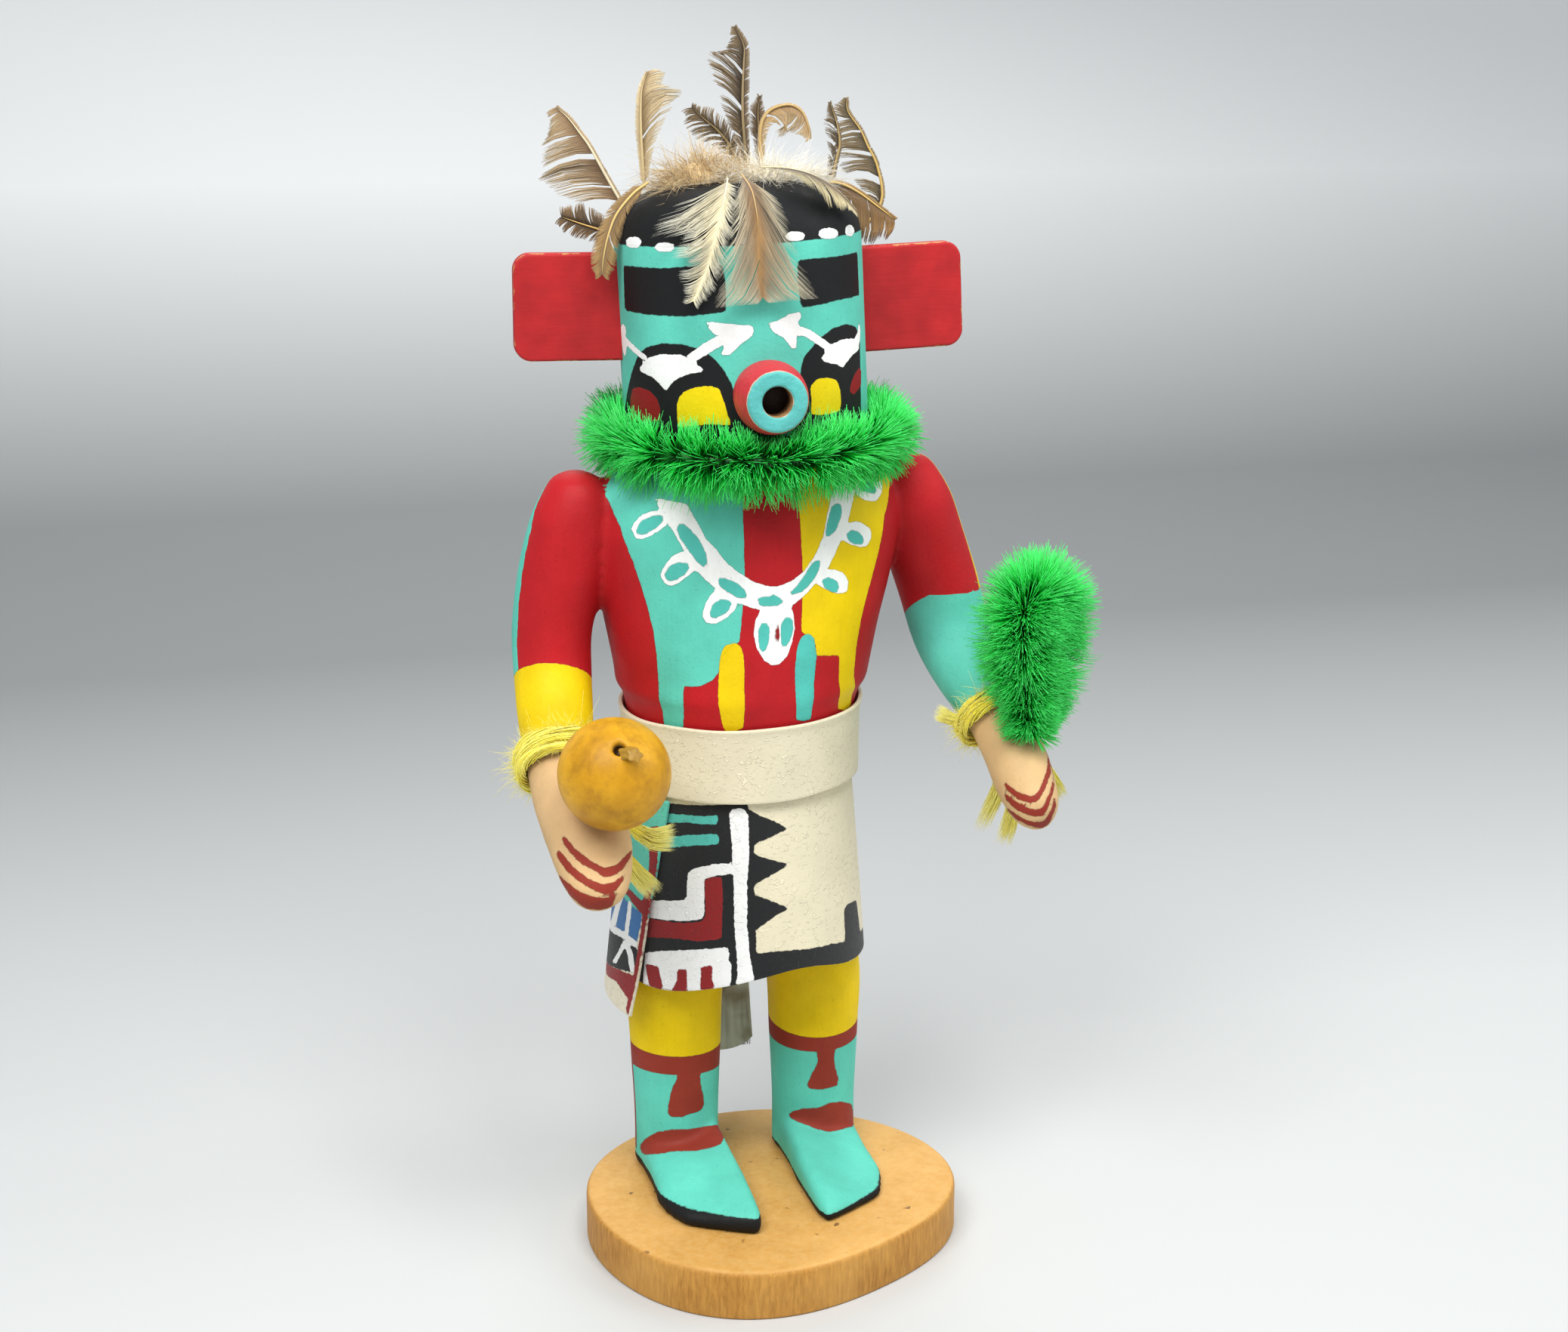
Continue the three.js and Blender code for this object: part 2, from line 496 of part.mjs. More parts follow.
const toFront = () => new THREE.Vector3(0, -1, 0);
const toFrontLeft = () => new THREE.Vector3(-0.3, -0.95, 0.1);
const FEATHERS = {
  wing: [toFront, [
    [-27.2, 10, 263.6, 5, 0.8], [-30.5, 11, 269.6, 11, 0.8], [-33, 11, 274.1, 13, 0.8],
    [-35.2, 11, 278, 12, 0.8], [-37.4, 11, 281, 9.6, 0.8], [-40.2, 11, 284.6, 6.4, 0.8], [-43.2, 11, 287.3, 2.6, 0.6],
  ]],
  stub: [toFront, [[-29.8, 7.6, 257, 2, 3], [-37.5, 8, 259.4, 3.6, 4.4], [-43, 8, 261.4, 2, 2.2]]],
  drape: [toFrontLeft, [
    [-23.8, -3, 269.8, 1, 1], [-27.8, -4, 267.2, 1.8, 1.6], [-32, -4.6, 262.5, 2.6, 2.4],
    [-34.3, -5, 257.2, 2.8, 2.8], [-35.5, -5, 252, 2.8, 2.8], [-35.8, -4.8, 248.4, 1.6, 1.6],
  ]],
  upright: [toFront, [
    [-23, 5, 268, 0.7, 0.7], [-23, 5, 276, 1, 1.2], [-22.8, 5, 281.3, 1.3, 2.6], [-22.6, 5, 287, 1.2, 6.4],
    [-22.6, 5, 291.5, 0.9, 7.6], [-22.6, 5, 295.6, 0.5, 3.6],
  ]],
  tall: [toFront, [
    [4, 9, 270.4, 0.8, 0.8], [3.5, 9, 277, 2, 1.2], [2.9, 9, 284.6, 4.2, 1.6], [2.9, 9, 291.5, 7, 1.6],
    [3.2, 9, 297.5, 8, 1.5], [3.2, 9, 301.7, 5, 1.2], [0.9, 9, 306.3, 0.8, 0.6],
  ]],
  tall_side: [toFront, [
    [3.4, 12, 270, 1.2, 1.2], [1, 12, 276.6, 2.6, 2.4], [-2.4, 12, 281, 4, 3.2], [-5.8, 12, 283.9, 4.6, 2.8],
    [-9.3, 12, 287, 2.4, 1],
  ]],
  short: [toFront, [[6.2, 4, 272, 0.6, 0.6], [5.7, 4, 280, 1.8, 1.6], [5.4, 4, 285.6, 2, 1.6], [5.9, 4, 289.7, 0.7, 0.7]]],
  curled: [toFront, [
    [5.4, 1, 273, 0.5, 0.8], [5.1, 1, 281.2, 0.5, 1.6], [6.4, 1, 285.2, 0.5, 3], [9.1, 1, 287.1, 0.5, 4.4],
    [12.9, 1, 287.6, 0.5, 5], [15.8, 1, 285.8, 0.5, 4.4], [17.4, 1, 282, 0.5, 2.6], [17.8, 1, 279.4, 0.4, 1.2],
  ]],
  spike: [toFront, [
    [23.4, 5, 265, 1, 1], [25.8, 5, 274.5, 2.4, 0.8], [26.6, 5, 278.2, 3, 0.7], [25.9, 5, 282.8, 3, 0.6],
    [24, 5, 288.2, 0.5, 0.5],
  ]],
  hook: [toFront, [
    [28.3, 8.5, 256, 1, 1], [35, 8.5, 258.6, 1.6, 0.8], [38.9, 8.5, 264.4, 4.4, 0.8], [37.6, 8.5, 272.4, 7.6, 0.8],
    [35, 8.5, 277.5, 7.8, 0.8], [33, 8.5, 281.5, 7, 0.8], [29.8, 8.5, 285.8, 4, 0.8], [29.4, 8.5, 289.4, 0.6, 0.6],
  ]],
  folded: [toFront, [
    [22, 2, 269, 0.8, 2], [26, 2, 268.6, 0.8, 4], [30.7, 2, 266.4, 0.8, 6], [36.7, 2, 262.2, 0.8, 6.4],
    [40.3, 2, 259.5, 0.8, 4.6],
  ]],
  plume_right: [outOfHead, [
    [2.5, -11.5, 272.2, 0.8, 1], [7, -14, 272, 0.8, 5], [11.5, -17, 271.1, 0.8, 6.6], [15.6, -19.6, 269, 0.8, 6.4],
    [18.6, -21.1, 266.4, 0.8, 4.6], [21, -21.2, 263.8, 0.6, 1.4],
  ]],
  plume_left: [outOfHead, [
    [-7.4, -15.5, 271, 2, 2], [-10.6, -25, 267.2, 3, 8], [-13.5, -28.8, 260, 3.6, 8], [-15.6, -28.4, 252.4, 4, 5],
    [-18.8, -26.4, 243.4, 2, 1.6],
  ]],
  plume_centre: [outOfHead, [
    [-4.6, -17.5, 272.2, 2, 2], [-4.8, -28, 268.4, 4, 4], [-4.6, -32.4, 261.2, 6, 6], [-4.4, -33.2, 252.8, 8, 8],
    [-3.6, -33.3, 245.4, 9.6, 8], [-3.4, -33.2, 242.4, 7, 6],
  ]],
};

// Pieces and their finishes
function named(name, body, finish) {
  const mesh = new THREE.Mesh(surface(body), new THREE.MeshStandardMaterial({
    color: COLOURS[finish], roughness: ROUGHNESS[finish], metalness: 0,
  }));
  mesh.name = name;
  return mesh;
}

function slab() {
  // [share of the radius lost, height]: a soft lower edge, a straight wall and a worn upper edge
  const wall = [[0.6, 0], [0, 0.8], [0, BASE_HEIGHT - 1.5], [0.5, BASE_HEIGHT - 0.5], [1.6, BASE_HEIGHT]];
  const swell = [[2, 1.84, 31], [3, 1.29, 9], [4, 0.58, -80]];
  return solid(turned(36, wall.length - 1, (t, angle, reach) => {
    const [lost, z] = wall[Math.round(t * (wall.length - 1))];
    const radius = swell.reduce(
      (sum, [count, depth, turn]) => sum + depth * Math.cos(count * angle - THREE.MathUtils.degToRad(turn)),
      BASE_RADIUS,
    ) - lost;
    return [
      BASE_CENTRE[0] + reach * radius * Math.cos(angle), BASE_CENTRE[1] + reach * radius * Math.sin(angle), z,
    ];
  }));
}

const doll = new THREE.Group();
doll.add(
  named('base_slab', slab(), 'slab'),
  named('figure', figure(), 'paint'),
  named('ear_board_a', ear(-1), 'ear'),
  named('ear_board_b', ear(1), 'ear'),
  named('snout', snout(), 'snout'),
  named('kilt', kilt(), 'kilt'),
  named('belt', belt(), 'leather'),
  named('hip_panel', hipPanel(), 'panel'),
  named('tail', tail(), 'fur'),
  named('gourd', gourd(), 'gourd'),
  named('wrist_yarn_a', wristYarn(GOURD_ARM, GOURD_YARN_TUFTS), 'yarn'),
  named('wrist_yarn_b', wristYarn(BRUSH_ARM, BRUSH_YARN_TUFTS), 'yarn'),
  named('neck_ruff', ruff(), 'brush'),
  named('hand_brush', handBrush(), 'brush'),
  named('down_pad', downPad(), 'down'),
);
for (const [name, [facing, stations]] of Object.entries(FEATHERS)) {
  doll.add(named(`feather_${name}`, feather(stations, facing), 'feather'));
}

export default doll;
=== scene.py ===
import math

import bmesh
import bpy
import numpy as np
from mathutils import Euler, Matrix, Vector
from mathutils.bvhtree import BVHTree


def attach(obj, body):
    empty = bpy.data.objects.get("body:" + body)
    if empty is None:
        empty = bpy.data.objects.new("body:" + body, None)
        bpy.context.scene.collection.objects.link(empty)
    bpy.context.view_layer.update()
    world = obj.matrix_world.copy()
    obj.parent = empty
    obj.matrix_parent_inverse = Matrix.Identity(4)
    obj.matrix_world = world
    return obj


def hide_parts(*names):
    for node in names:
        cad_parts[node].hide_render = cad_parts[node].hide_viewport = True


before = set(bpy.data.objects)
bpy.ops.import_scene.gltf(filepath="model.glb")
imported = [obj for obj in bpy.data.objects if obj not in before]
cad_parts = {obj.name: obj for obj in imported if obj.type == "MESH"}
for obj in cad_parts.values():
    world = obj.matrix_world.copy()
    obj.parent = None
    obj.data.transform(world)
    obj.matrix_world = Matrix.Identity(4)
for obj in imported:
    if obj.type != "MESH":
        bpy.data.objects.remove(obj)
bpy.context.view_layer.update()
MM = 0.001

# %% [markdown]
# ## Camera
# The photograph was taken a little from the doll's right and from above. A sight line through any
# point of the photograph tells later cells where a painted edge lies on the carving.
# %% Camera
PHOTO_WIDE, PHOTO_HIGH = 2076, 1764
FOCAL_PX = 3110

camera = bpy.data.objects.new("camera", bpy.data.cameras.new("camera"))
bpy.context.scene.collection.objects.link(camera)
camera.data.sensor_width = 36
camera.data.lens = camera.data.sensor_width * FOCAL_PX / PHOTO_WIDE
camera.location = (-0.1509, -0.5631, 0.298)
camera.rotation_euler = Euler((math.radians(75.55), 0, math.radians(-16.03)))
bpy.context.scene.camera = camera
bpy.context.view_layer.update()
print("camera lens", round(camera.data.lens, 2), "mm")

# %% [markdown]
# ## Small helpers for shapes
# `flow` runs a smooth curve through stations, and any further columns, such as widths, flow with
# it. `rolled` rolls a grid into a closed body, and `finished` turns a bmesh into a piece.
# %% Helpers for shapes
def flow(stations, count, pull=0.5, closed=False):
    """Rows evenly stepped along a smooth curve through the stations"""
    p = np.asarray(stations, float)
    ends = (p[-1], p[0], p[1]) if closed else (2 * p[0] - p[1], 2 * p[-1] - p[-2])
    q = np.vstack([ends[0], p, *ends[1:]])
    spans = len(p) if closed else len(p) - 1
    s = np.linspace(0, spans, count, endpoint=not closed)
    i = np.minimum(s.astype(int), spans - 1)
    t = (s - i)[:, None]
    a, b, c, d = (q[i + k] for k in range(4))
    start, end = pull * (c - a), pull * (d - b)
    return ((2 * t**3 - 3 * t**2 + 1) * b + (t**3 - 2 * t**2 + t) * start
            + (3 * t**2 - 2 * t**3) * c + (t**3 - t**2) * end)


def rolled(around, along, place):
    """A grid rolled into a closed body: place gives a spot for the turn and the way along"""
    bm = bmesh.new()
    bmesh.ops.create_grid(bm, x_segments=around, y_segments=along, size=0.5)
    for vert in bm.verts:
        vert.co = place(vert.co.x + 0.5, vert.co.y + 0.5)
    bmesh.ops.remove_doubles(bm, verts=bm.verts, dist=1e-4)
    bmesh.ops.holes_fill(bm, edges=[e for e in bm.edges if e.is_boundary], sides=0)
    bmesh.ops.recalc_face_normals(bm, faces=bm.faces)
    return bm


def sliced(bm, places, way):
    """Cuts a body across at places along a direction, to give it more points"""
    for place in places:
        bmesh.ops.bisect_plane(bm, geom=bm.verts[:] + bm.edges[:] + bm.faces[:],
                               plane_co=Vector(way) * float(place), plane_no=way)


def as_mesh(bm, name):
    mesh = bpy.data.meshes.new(name)
    bm.to_mesh(mesh)
    bm.free()
    return mesh


def keep(mesh, name, values):
    """Stores a value on every point of a mesh, for its finish to read"""
    values = np.broadcast_to(np.asarray(values, np.float32), (len(mesh.vertices),))
    mesh.attributes.new(name, "FLOAT", "POINT").data.foreach_set("value", np.ascontiguousarray(values))


def posed(points, matrix):
    """Points moved by a 4 x 4 matrix"""
    m = np.array(matrix)
    return points @ m[:3, :3].T + m[:3, 3]


def finished(name, mesh, slot, material, *nodes):
    """A mesh in millimetres becomes a piece of the doll, in place of the CAD nodes named"""
    mesh.transform(Matrix.Scale(MM, 4))
    mesh.shade_smooth()
    mesh.materials.clear()
    mesh.materials.append(material)
    obj = bpy.data.objects.new(name, mesh)
    bpy.context.scene.collection.objects.link(obj)
    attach(obj, "root")
    if nodes:
        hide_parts(*nodes)
    triangles = sum(len(face.vertices) - 2 for face in mesh.polygons)
    print(f"{name}: {triangles} triangles")
    return obj


# %% [markdown]
# ## Small helpers for finishes
# Every finish is a short recipe of shader nodes. Noise and bumps read Object coordinates, which
# are metres here, so a scale of 1000 repeats about every millimetre.
# %% Helpers for finishes
def tint(code):
    """A colour from its web code, as the shader's linear values"""
    parts = [int(code[i:i + 2], 16) / 255 for i in (1, 3, 5)]
    return tuple(c / 12.92 if c <= 0.04045 else ((c + 0.055) / 1.055) ** 2.4 for c in parts) + (1,)


class Recipe:
    """A material that is built up step by step; each step gives a socket for the next"""

    def __init__(self, name, roughness, **settings):
        self.material = bpy.data.materials.new(name)
        self.material.use_nodes = True
        self.tree = self.material.node_tree
        self.shader = self.tree.nodes["Principled BSDF"]
        self.shader.inputs["Roughness"].default_value = roughness
        for socket, value in settings.items():
            self.shader.inputs[socket.replace("_", " ")].default_value = value

    def add(self, kind, inputs=(), **settings):
        node = self.tree.nodes.new("ShaderNode" + kind)
        for key, value in settings.items():
            setattr(node, key, value)
        for key, value in dict(inputs).items():
            if isinstance(value, bpy.types.NodeSocket):
                self.tree.links.new(value, node.inputs[key])
            elif value is not None:
                node.inputs[key].default_value = value
        return node

    def place(self, stretch=(1, 1, 1), turn=(0, 0, 0)):
        where = self.add("TexCoord").outputs["Object"]
        mapping = self.add("Mapping", {"Vector": where, "Scale": stretch, "Rotation": turn})
        return mapping.outputs["Vector"]

    def noise(self, scale, detail=3, vector=None, rough=0.5):
        node = self.add("TexNoise", {
            "Vector": vector or self.place(), "Scale": scale, "Detail": detail, "Roughness": rough,
        })
        return node.outputs["Fac"]

    def fit(self, value, low, high, to_low=0.0, to_high=1.0):
        node = self.add("MapRange", {
            "Value": value, "From Min": low, "From Max": high, "To Min": to_low, "To Max": to_high,
        })
        return node.outputs["Result"]

    def sum(self, a, b, operation="ADD"):
        return self.add("Math", {0: a, 1: b}, operation=operation).outputs["Value"]

    def mix(self, share, a, b, blend="MIX"):
        node = self.add("Mix", data_type="RGBA", blend_type=blend)
        sockets = {"share": node.inputs[0], "a": node.inputs[6], "b": node.inputs[7]}
        for key, value in {"share": share, "a": a, "b": b}.items():
            if isinstance(value, bpy.types.NodeSocket):
                self.tree.links.new(value, sockets[key])
            else:
                sockets[key].default_value = value
        return node.outputs[2]

    def attribute(self, name):
        return self.add("Attribute", attribute_name=name).outputs["Fac"]

    def shaded(self, colour, shade):
        """A colour made darker or lighter by a factor"""
        grey = self.add("CombineColor", {"Red": shade, "Green": shade, "Blue": shade}).outputs["Color"]
        return self.mix(1.0, colour, grey, "MULTIPLY")

    def finish(self, colour, height=None, depth=0.0, strength=1.0, roughness=None):
        """Joins colour and relief to the shader; depth is the relief's full height in metres"""
        if isinstance(colour, bpy.types.NodeSocket):
            self.tree.links.new(colour, self.shader.inputs["Base Color"])
        else:
            self.shader.inputs["Base Color"].default_value = colour
        if height is not None:
            bump = self.add("Bump", {"Height": height, "Distance": depth, "Strength": strength})
            self.tree.links.new(bump.outputs["Normal"], self.shader.inputs["Normal"])
        if roughness is not None:
            self.tree.links.new(roughness, self.shader.inputs["Roughness"])
        return self.material


print("helpers are ready")

# %% [markdown]
# ## Stage
# A pale floor that rises softly far behind, with painted light and shade on it: a dark band of painted
# shade behind the doll, and paler far behind where it rises. Soft lamps: a wide one over the camera's
# left shoulder, a near one above, a weaker one from the right, and pale light all round.
# %% Stage
def lamp(name, place, aim, size, watts):
    light = bpy.data.lights.new(name, "AREA")
    light.size = size
    light.energy = watts
    obj = bpy.data.objects.new(name, light)
    obj.location = place
    obj.rotation_euler = (Vector(aim) - Vector(place)).to_track_quat("-Z", "Y").to_euler()
    bpy.context.scene.collection.objects.link(obj)
    return obj


def stage_floor():
    bm = bmesh.new()
    bmesh.ops.create_grid(bm, x_segments=2, y_segments=80, size=4)
    for vert in bm.verts:
        back = max(0.0, vert.co.y - 0.9)
        vert.co.z = 0.55 * back * back
        vert.co.y = min(vert.co.y, 2.6)
    mesh = bpy.data.meshes.new("floor")
    bm.to_mesh(mesh)
    bm.free()
    floor = bpy.data.objects.new("floor", mesh)
    bpy.context.scene.collection.objects.link(floor)
    mesh.shade_smooth()
    paper = Recipe("floor_painted_light_and_shade", 0.7)
    depth = paper.add("SeparateXYZ", {"Vector": paper.add("TexCoord").outputs["Object"]}).outputs["Y"]
    # The floor's colour is painted light and shade: dark grey in a band behind the doll, paler far behind
    # where it rises.
    band = paper.sum(paper.fit(depth, 0.08, 0.62), paper.fit(depth, 1.0, 1.5, 1, 0), "MULTIPLY")
    pale = paper.mix(paper.fit(depth, 1.0, 1.5), (0.56, 0.57, 0.56, 1), (0.86, 0.87, 0.86, 1))
    mesh.materials.append(paper.finish(paper.mix(band, pale, (0.25, 0.26, 0.26, 1))))


stage_floor()
lamp("lamp_left", (-0.7, -0.75, 1.35), (0, 0, 0.15), 0.8, 18)
lamp("lamp_above", (0.06, -0.4, 0.82), (0, 0, 0.18), 0.3, 3.0)
lamp("lamp_right", (1.1, -0.5, 0.9), (0, 0, 0.15), 0.9, 7)
lamp("lamp_back", (0.3, 1.1, 1.2), (0, 0, 0.15), 1.0, 8)
world = bpy.data.worlds.new("studio")
world.use_nodes = True
world.node_tree.nodes["Background"].inputs["Color"].default_value = (0.86, 0.9, 0.95, 1)
world.node_tree.nodes["Background"].inputs["Strength"].default_value = 0.5
bpy.context.scene.world = world
bpy.context.scene.view_settings.view_transform = "Standard"
print("stage is set")

# %% [markdown]
# ## The carving
# The figure is one carving, so its smooth bodies are made from the CAD model's own stations with
# many more sides, laid into each other, and melted into one skin with a voxel remesh. That gives
# soft fillets like a rasp and sandpaper do, and an even skin that can hold painted edges.
# %% Head
HEAD_RADIUS, HEAD_BOTTOM, HEAD_TOP, DOME_HEIGHT = 30.4, 210, 270.3, 18.3
HEAD_PIVOT = Matrix.Translation((0, 0, 235))
HEAD_POSE = (HEAD_PIVOT @ Matrix.Rotation(math.radians(-2.7), 4, "Y")
             @ Matrix.Rotation(math.radians(-4.5), 4, "Z") @ HEAD_PIVOT.inverted())


def spun(outline, sides=96):
    """An outline of (radius, height) turned round the Z axis and closed"""
    bm = bmesh.new()
    verts = [bm.verts.new((radius, 0, z)) for radius, z in outline]
    edges = [bm.edges.new(pair) for pair in zip(verts, verts[1:])]
    bmesh.ops.spin(bm, geom=verts + edges, axis=(0, 0, 1), cent=(0, 0, 0), steps=sides,
                   angle=2 * math.pi, use_merge=True, use_duplicate=False)
    bmesh.ops.remove_doubles(bm, verts=bm.verts, dist=1e-4)
    bmesh.ops.recalc_face_normals(bm, faces=bm.faces)
    return bm


def head_outline():
    power = 3.2
    leans = np.linspace(0, math.pi / 2, 15)[:-1]
    wall = HEAD_TOP - DOME_HEIGHT
    dome = [(HEAD_RADIUS * math.cos(a) ** (2 / power), wall + DOME_HEIGHT * math.sin(a) ** (2 / power))
            for a in leans]
    rise = [(HEAD_RADIUS, z) for z in np.linspace(HEAD_BOTTOM + 1.6, wall, 9)[:-1]]
    return [(0, HEAD_BOTTOM), (HEAD_RADIUS - 1.6, HEAD_BOTTOM), *rise, *dome, (0, HEAD_TOP)]


head = spun(head_outline())
bmesh.ops.transform(head, matrix=HEAD_POSE, verts=head.verts)
print("head has", len(head.verts), "points")

# %% Trunk and limbs
TRUNK = [  # height, half width, half depth, centre x
    (82, 27.2, 26.2, -0.9), (102, 27.1, 26.4, -0.9), (118, 27.0, 26.2, -0.9), (128, 27.6, 26.9, -0.9),
    (142.3, 30.2, 29.2, -0.8), (145.3, 32.2, 29.6, -0.6), (150, 33.1, 29.0, -0.3), (160, 35.2, 28.0, -0.1),
    (172, 38.0, 27.2, 0.3), (186, 40.2, 26.2, 0.6), (196, 37.4, 24.4, 0.6), (203, 29.0, 21.8, 0.4),
    (208, 22.6, 20.4, 0.2), (213, 22.0, 20.0, 0),
]
GOURD_ARM = [  # x, y, z, half width, half height
    (-41.4, 0, 200.2, 3, 3.2), (-41.8, 0, 197.2, 7.2, 7.8), (-42.9, 0, 189, 10.3, 10.8),
    (-46.3, 0.4, 176, 10.7, 11), (-49.2, 0.4, 161, 10, 10.6), (-49.8, -2.6, 149, 9.7, 10),
    (-50.8, -10.5, 140, 9.3, 9.2), (-52.2, -21, 132.6, 8, 7.8), (-51, -29.5, 126, 9.4, 7.3),
    (-48.9, -38.5, 119, 10.2, 7.3), (-48.8, -47, 112.6, 8.8, 6.6), (-49.4, -52.6, 108.8, 6.2, 5),
    (-49.6, -55, 107.2, 2.6, 2.4),
]
BRUSH_ARM = [
    (42, 0, 200.4, 3, 3.2), (42.8, 0, 197.4, 7.2, 7.8), (44.8, 0, 189, 10.2, 10.8),
    (48.5, 0, 178, 10.5, 11), (52.6, 0, 166, 10.5, 10.8), (55.2, -3.4, 154, 10.1, 10.2),
    (58.4, -11.4, 144.6, 9.6, 9.4), (61.2, -22, 136, 8, 7.8), (62.4, -30, 129.6, 7.8, 7.8),
    (63, -38, 122.6, 7.4, 8), (63.6, -44.4, 117.2, 5.8, 6.6), (63.8, -47.6, 114.4, 2.6, 3.2),
]
LEG = [  # height, half width, half depth, distance from the middle
    (14, 11.2, 10.8, 19), (28, 11.2, 10.6, 19), (46, 12, 11, 19), (66, 12.7, 11.6, 18.6),
    (90, 12.9, 12, 13.6),
]


def stacked(stations, rings, pull=0.5):
    rows = flow(stations, rings + 1, pull)

    def place(turn, way):
        z, wide, deep, x = rows[round(way * rings)]
        return (x + wide * math.cos(math.tau * turn), deep * math.sin(math.tau * turn), z)

    return rolled(72, rings, place)


def sections(stations, rings):
    """Centres, the two directions across and the sizes of a limb's sections"""
    rows = flow(stations, rings + 1)
    ahead = np.gradient(rows[:, :3], axis=0)
    ahead /= np.linalg.norm(ahead, axis=1)[:, None]
    up = np.cross(ahead, (1.0, 0, 0))
    up /= np.linalg.norm(up, axis=1)[:, None]
    return rows[:, :3], np.cross(up, ahead), up, rows[:, 3:], ahead


def limb(stations, rings=70):
    centres, side, up, sizes, _ = sections(stations, rings)

    def place(turn, way):
        i = round(way * rings)
        lean = math.tau * turn
        spot = centres[i] + side[i] * sizes[i][0] * math.cos(lean) + up[i] * sizes[i][1] * math.sin(lean)
        return tuple(spot)

    return rolled(40, rings, place)


bodies = [head, stacked(TRUNK, 90, 0.42), limb(GOURD_ARM), limb(BRUSH_ARM)]
for hand in (-1, 1):
    bodies.append(stacked([(z, wide, deep, hand * x) for z, wide, deep, x in LEG], 40))
print(len(bodies), "bodies for trunk, head and limbs")

# %% [markdown]
# The feet are blocks whose outline runs round the sole. The top falls towards the toe and the
# outer side, and its shoulder is rounded over in a few steps.
# %% Feet
SOLE_Z = 13.0
SOLE = [  # distance from the middle, y
    (29.8, 2), (29.4, -14), (30, -27), (26.2, -38), (17, -44), (9.6, -47.8), (7.8, -44), (7.6, -28),
    (8.2, -12), (8.4, 2), (12, 9.4), (19, 11.6), (26, 9.4),
]


def foot(hand):
    reach = 0 if hand < 0 else 1.4
    outline = flow([(hand * x, y + (reach if y < -20 else 0)) for x, y in SOLE], 90, 0.3, closed=True)
    middle = np.array((hand * 19, -16))
    section = [(0, 0), (0.6, 0), (0.98, 0), (1, 0.16), (1, 0.46), (0.985, 0.66), (0.955, 0.8), (0.9, 0.9),
               (0.82, 0.955), (0.65, 0.99), (0.4, 1), (0, 1)]

    def place(turn, way):
        spread, rise = section[round(way * 11)]
        x, y = middle + spread * (outline[round(turn * 90) % 90] - middle)
        instep = 25.4 - 1.1 * reach + 0.17 * min(0, y + 8) - 0.24 * max(0, hand * x - 10)
        return (x, y, SOLE_Z + rise * (max(15.6, instep) - SOLE_Z))

    return rolled(90, 11, place)


bodies += [foot(-1), foot(1)]
print("two feet added")

# %% Melt the bodies into one skin
def melted(parts, voxel, rounds):
    """Closed bodies become one even skin, then get a little sanding"""
    bm = bmesh.new()
    for part in parts:
        mesh = as_mesh(part, "part")
        bm.from_mesh(mesh)
        bpy.data.meshes.remove(mesh)
    block = bpy.data.objects.new("block", as_mesh(bm, "block"))
    bpy.context.scene.collection.objects.link(block)
    remesh = block.modifiers.new("remesh", "REMESH")
    remesh.mode = "VOXEL"
    remesh.voxel_size = voxel
    sanding = block.modifiers.new("sanding", "SMOOTH")
    sanding.factor = 0.5
    sanding.iterations = rounds
    solved = block.evaluated_get(bpy.context.evaluated_depsgraph_get())
    mesh = bpy.data.meshes.new_from_object(solved)
    bpy.data.objects.remove(block)
    return mesh


figure_mesh = melted(bodies, voxel=1.0, rounds=5)
print("figure skin has", len(figure_mesh.polygons), "faces")

# %% [markdown]
# ## Painted edges
# Flat paint has crisp edges that the maker drew by eye, so each painted shape is an outline. Its
# points are written as they are read off an enlarged view of the photograph, and a sight line
# carries each one onto the carving. Every point of the skin then stores how far it is inside the
# shape, in millimetres. Between points that distance is exact enough for a sharp edge.
# %% Sight lines
VIEWS = {"head": (640, 300, 2.376), "chest": (640, 600, 2.376), "kilt": (640, 880, 2.613),
         "feet": (780, 1240, 2.992), "brush": (1180, 720, 3.733)}  # left, top and scale
EYE = np.array(camera.location) / MM
DOLL_AWAY, DOLL_NEAREST, DOLL_FARTHEST = 570, 470, 680


def sight(view, x, y):
    """The direction from the camera through a point of an enlarged view"""
    left, top, scale = VIEWS[view]
    across = (left + x / scale - PHOTO_WIDE / 2) / FOCAL_PX
    down = (top + y / scale - PHOTO_HIGH / 2) / FOCAL_PX
    return (camera.matrix_world.to_3x3() @ Vector((across, -down, -1))).normalized()


def landing(tree, view, x, y):
    """Where a sight line meets a surface, or passes closest to it"""
    direction = sight(view, x, y)
    spot = tree.ray_cast(Vector(EYE), direction)[0]
    if spot is None:
        near = [tree.find_nearest(Vector(EYE) + direction * d)
                for d in range(DOLL_NEAREST, DOLL_FARTHEST, 3)]
        spot = min(near, key=lambda found: found[3])[0]
    return np.array(spot)


def surface_tree(mesh):
    return BVHTree.FromPolygons([v.co.copy() for v in mesh.vertices], [p.vertices for p in mesh.polygons])


figure_tree = surface_tree(figure_mesh)
print("chin lies at", landing(figure_tree, "head", 700, 622).round(1))

# %% Unrolled surfaces
def unroll(points, centre_x, radius, pose=None):
    """Points on an upright form as (way round from the front, height), in millimetres"""
    points = np.atleast_2d(points)
    if pose is not None:
        points = posed(points, pose.inverted())
    return np.stack([radius * np.arctan2(points[:, 0] - centre_x, -points[:, 1]), points[:, 2]], 1)


def on_head(points):
    return unroll(points, 0, HEAD_RADIUS, HEAD_POSE)


def on_trunk(points):
    return unroll(points, 0.3, 33)


